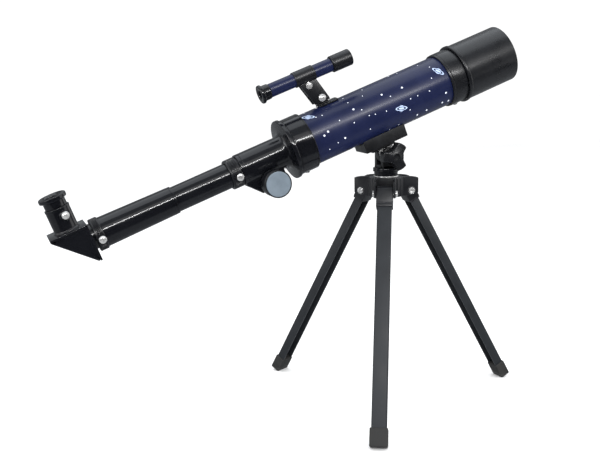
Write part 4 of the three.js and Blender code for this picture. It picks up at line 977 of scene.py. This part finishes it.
def makeHub():
    size = {"core": 16.5, "pocket": 14.2, "earIn": 8.5, "earOut": 10.4, "reach": 31.6, "soft": 0.5,
            "arcSteps": 12, "earRoot": 9, "columnAngles": (46, 60, 74), "column": 2.6, "washerHole": 3.6}
    outward, hinge = legPlace("leg_right")[1:]
    hubFrame = frameAt((panAt.x, panAt.y, hinge.z), outward, up)
    low, high = span("hub", hubFrame)
    bottom, top = low.z, high.z
    corner = asin(size["earIn"] / size["core"])
    outline = []
    for k in range(3):
        middle = 2 * pi * k / 3
        for y in (-size["earIn"], size["earIn"]):
            outline.append((size["pocket"] * cos(middle) - y * sin(middle),
                            size["pocket"] * sin(middle) + y * cos(middle)))
        start, end, steps = middle + corner, middle + 2 * pi / 3 - corner, size["arcSteps"]
        angles = [start + (end - start) * i / steps for i in range(steps + 1)]
        outline += [(size["core"] * cos(angle), size["core"] * sin(angle)) for angle in angles]
    core = moved(plate([(x, -y) for x, y in outline], bottom, top, size["soft"]), tipped)
    shapes = [core]
    for k in range(3):
        for side in (-1, 1):
            inner, outer = sorted((side * size["earIn"], side * size["earOut"]))
            ear = plate([(size["earRoot"], bottom), (20.5, bottom), (size["reach"], bottom + 2.4),
                         (size["reach"], top - 2.2), (28.5, top - 1.1), (25, top - 0.4), (21, top),
                         (size["earRoot"], top)],
                        inner, outer, size["soft"])
            eye = moved(turned([(size["earOut"] - 0.2, 0), (size["earOut"] - 0.2, 4.3),
                                (size["earOut"] + 0.25, 4.1, 0.15), (size["earOut"] + 0.25, 0)], 40),
                        at((hinge - panAt).to_2d().length * 1000, 0, 0) @ towardsSide(side))
            turnK = Matrix.Rotation(radians(120 * k), 4, "Z")
            shapes += [moved(ear, turnK), moved(eye, turnK)]
        # rounded columns down the core between two legs
        for angle in size["columnAngles"]:
            column = moved(turned([(bottom + 0.3, 0), (bottom + 0.3, size["column"], 0.6),
                                   (top - 0.5, size["column"], 0.6), (top - 0.5, 0)], 40), towardsUp)
            shapes.append(moved(column, Matrix.Rotation(radians(120 * k + angle), 4,
                                                        "Z") @ at(size["core"] - 1.2)))
    finished("hub_body", joined(*shapes), hubFrame, hubBlack, "tripod_hub", "black_plastic", "hub")
    low, high = span("pan_washer", hubFrame)
    reach, hole = (high.x - low.x) / 2, size["washerHole"]
    washer = moved(turned([(low.z, hole), (low.z, reach, 0.25), (high.z, reach, 0.35), (high.z, hole)], 96),
                   towardsUp)
    finished("pan_shim", washer, hubFrame, nickel, "tripod_hub", "nickel", "pan_washer")


def makeLeg(name):
    size = {"head": 6.4, "headSoft": 0.8, "skirt": {"leg_front": -15}, "otherSkirt": -12, "skirtSoft": 0.6,
            "stripTop": -10.5, "corner": 1.6, "wall": 1.2, "stripSoft": 0.3, "boot": 1.3, "pin": 2,
            "earFace": 10.7}
    place, outward, hinge = legPlace(name)
    head, pin, earFace = size["head"], size["pin"], size["earFace"]
    # knuckle: a rounded head over a short skirt that grips the channel
    low, high = span(name + "_knuckle", place)
    headPlate = plate([(-6, -11), (head, -11), (head, 1)] + arc(head, 10, 150, 16, 0, 2) + [(-6, 4.6)],
                      low.y, high.y, size["headSoft"])
    skirtEnd = size["skirt"].get(name, size["otherSkirt"])
    skirt = block((-5.2, low.y, skirtEnd), (6.0, high.y, -10), size["skirtSoft"])
    finished(name + "_head", joined(headPlate, skirt), place, hubBlack, name, "black_plastic",
             name + "_knuckle")
    # channel: a folded strip with rounded corners, open towards the centre
    low, high = span(name + "_channel", place)
    shape = bmesh.new()
    corners = [shape.verts.new((x, y, size["stripTop"])) for x,
               y in ((low.x, low.y), (high.x, low.y), (high.x, high.y), (low.x, high.y))]
    for a, b in zip(corners, corners[1:]):
        shape.edges.new((a, b))
    bmesh.ops.bevel(shape, geom=corners[1:3], offset=size["corner"], segments=4, profile=0.5,
                    affect="VERTICES", material=-1)
    carried = bmesh.ops.extrude_edge_only(shape, edges=shape.edges[:])["geom"]
    ends = [item for item in carried if isinstance(item, bmesh.types.BMVert)]
    bmesh.ops.translate(shape, verts=ends, vec=(0, 0, low.z - size["stripTop"]))
    bmesh.ops.recalc_face_normals(shape, faces=shape.faces)
    if sum(face.normal.x * face.calc_area() for face in shape.faces) < 0:
        bmesh.ops.reverse_faces(shape, faces=shape.faces)
    bmesh.ops.solidify(shape, geom=shape.faces[:], thickness=size["wall"])
    bmesh.ops.recalc_face_normals(shape, faces=shape.faces)
    softened(shape, size["stripSoft"], 2, 60)
    finished(name + "_strip", shape, place, legMetal, name, "leg_metal", name + "_channel")
    # boot: a rubber block cut level where it stands
    low, high = span(name + "_foot", place)
    boot = block(low, high, 0)
    inward = place.inverted()
    bmesh.ops.bisect_plane(boot, geom=boot.verts[:] + boot.edges[:] + boot.faces[:], dist=1e-5,
                           clear_inner=True, plane_co=inward @ Vector((hinge.x, hinge.y, 0.0)),
                           plane_no=(inward.to_3x3() @ up).normalized())
    bmesh.ops.holes_fill(boot, edges=boot.edges[:])
    bmesh.ops.recalc_face_normals(boot, faces=boot.faces)
    softened(boot, size["boot"], 4, 12)
    finished(name + "_boot", boot, place, bootRubber, name, "foot_rubber", name + "_foot")
    # hinge pin: a domed rivet with a hollow centre on one side, a slotted head on the other
    pinFrame = frameAt(hinge, outward, up)
    pinLow, pinHigh = span(name + "_pin", pinFrame)
    rivet = turned([(0, 0), (0, pin), (earFace, pin), (earFace, 3.5, 0.2), (-pinLow.y - 0.6, 3.4, 0.5),
                    (-pinLow.y, 2.5, 0.3), (-pinLow.y - 1.5, 1.4, 0.15), (-pinLow.y - 1.6, 0)], 48)
    slot = turned([(0, 0), (0, pin), (earFace, pin), (earFace, 3.4, 0.2), (pinHigh.y - 0.5, 3.3, 0.5),
                   (pinHigh.y, 2.3, 0.4), (pinHigh.y, 0)], 48)
    slotted(slot, pinHigh.y - 0.5, 0.5, 0.9, 2.0)
    finished(name + "_rivet", joined(moved(rivet, towardsNear), moved(slot, towardsFar)), pinFrame,
             nickel, "tripod_hub", "nickel", name + "_pin")


makeHub()
for legName in ("leg_front", "leg_right", "leg_left"):
    makeLeg(legName)
print("tripod made")


# CAD nodes that stay, with their own finishes
kept = {
    nickel: ("pan_screw", "tilt_bolt", "tilt_plate", "saddle_screw", "focus_pinion"),
    satinBlack: ("draw_rack",),
    glass: ("erector_lens_front", "erector_lens_rear", "eyepiece_lens", "finder_lens"),
    mirror: ("diagonal_mirror",),
}
for look, names in kept.items():
    for name in names:
        mesh = cadNodes[name].data
        mesh.materials.clear()
        mesh.materials.append(look)


# Floor and light
def paleFloor():
    made = Surface("pale floor")
    cloud = made.noise(1.5, made.where(), 2.0)
    color = made.mix(made.remap(cloud, 0.0, 1.0), (0.97, 0.97, 0.97, 1), (0.985, 0.985, 0.985, 1))
    made.shade(Base_Color=color, Roughness=made.remap(cloud, 0.65, 0.75))
    return made.material


studio = {"floorSize": 14.0, "world": 1.08, "near": -2.2, "far": 2.4, "wide": 3.5, "lowWide": 1.8,
          "lift": 0.004, "split": -0.3, "nearTop": 1.15, "farTop": 1.9, "ceiling": 1.95,
          "ceilingNear": -1.6}


def studioCard(name, glow):
    made = Surface(name)
    weave = made.remap(made.noise(60, made.where(), 3.0), 0.0, 1.0)
    color = made.mix(weave, (0.004, 0.004, 0.004, 1), (0.008, 0.008, 0.008, 1))
    made.shade(Base_Color=color, Roughness=1.0, Specular_IOR_Level=0.0, Emission_Color=(0.9, 0.95, 1, 1),
               Emission_Strength=glow)
    return made.material


def stageCard(name, low, high, look, onlyReflected=False):
    shape = bmesh.new()
    bmesh.ops.create_grid(shape, x_segments=1, y_segments=1, size=0.5)
    low, high = Vector(low), Vector(high)
    extent = high - low
    if extent.z > 0:
        shape.transform(tipped)
    shape.transform(Matrix.Diagonal((extent.x, max(extent.y, 1e-3), max(extent.z, 1e-3), 1)))
    shape.transform(Matrix.Translation((low + high) / 2))
    mesh = bpy.data.meshes.new(name)
    shape.to_mesh(mesh)
    shape.free()
    mesh.materials.append(look)
    card = bpy.data.objects.new(name, mesh)
    bpy.context.scene.collection.objects.link(card)
    if onlyReflected:
        card.visible_camera = False
        card.visible_diffuse = False
        card.visible_shadow = False
        card.visible_transmission = False


half = studio["floorSize"] / 2
near, far, wide, lowWide = studio["near"], studio["far"], studio["wide"], studio["lowWide"]
lift, split, ceiling = studio["lift"], studio["split"], studio["ceiling"]
stageCard("floor", (-half, -half, 0), (half, half, 0), paleFloor())
darkCard, dimCard = studioCard("black card", 0.0), studioCard("grey card", 0.3)
stageCard("near card", (-wide, near, 0), (wide, near, studio["nearTop"]), darkCard, True)
stageCard("far card", (-wide, far, 0), (wide, far, studio["farTop"]), dimCard, True)
stageCard("ceiling card", (-wide, studio["ceilingNear"], ceiling), (wide, far, ceiling), dimCard, True)
stageCard("low near card", (-lowWide, near, lift), (lowWide, split, lift), darkCard, True)
stageCard("low far card", (-lowWide, split, lift), (lowWide, far, lift), dimCard, True)

world = bpy.data.worlds.new("studio")
world.use_nodes = True
world.node_tree.nodes["Background"].inputs["Color"].default_value = (1, 1, 1, 1)
world.node_tree.nodes["Background"].inputs["Strength"].default_value = studio["world"]
bpy.context.scene.world = world


def areaLight(name, place, look, size, power, color=(1, 1, 1), reflected=True):
    data = bpy.data.lights.new(name, "AREA")
    data.shape = "RECTANGLE"
    data.size, data.size_y = size
    data.energy = power
    data.color = color
    lamp = bpy.data.objects.new(name, data)
    lamp.location = place
    lamp.rotation_euler = (Vector(look) - Vector(place)).to_track_quat("-Z", "Y").to_euler()
    lamp.visible_glossy = reflected
    bpy.context.scene.collection.objects.link(lamp)


areaLight("overhead", (0.0, 0.35, 1.6), (0.0, 0.0, 0.2), (2.4, 1.5), 13, (0.9, 0.95, 1))
areaLight("strip", (0.0, -1.9, 1.2), (0.0, 0.0, 0.28), (2.6, 0.035), 30)
areaLight("left fill", (-1.3, -0.5, 0.7), (0.0, 0.0, 0.2), (0.7, 0.9), 5, (0.95, 0.98, 1))
areaLight("right fill", (1.2, -0.9, 0.8), (0.1, 0.0, 0.2), (0.6, 0.6), 3, (1, 1, 1), False)
bpy.context.scene.view_settings.view_transform = "Standard"

print("scene ready")
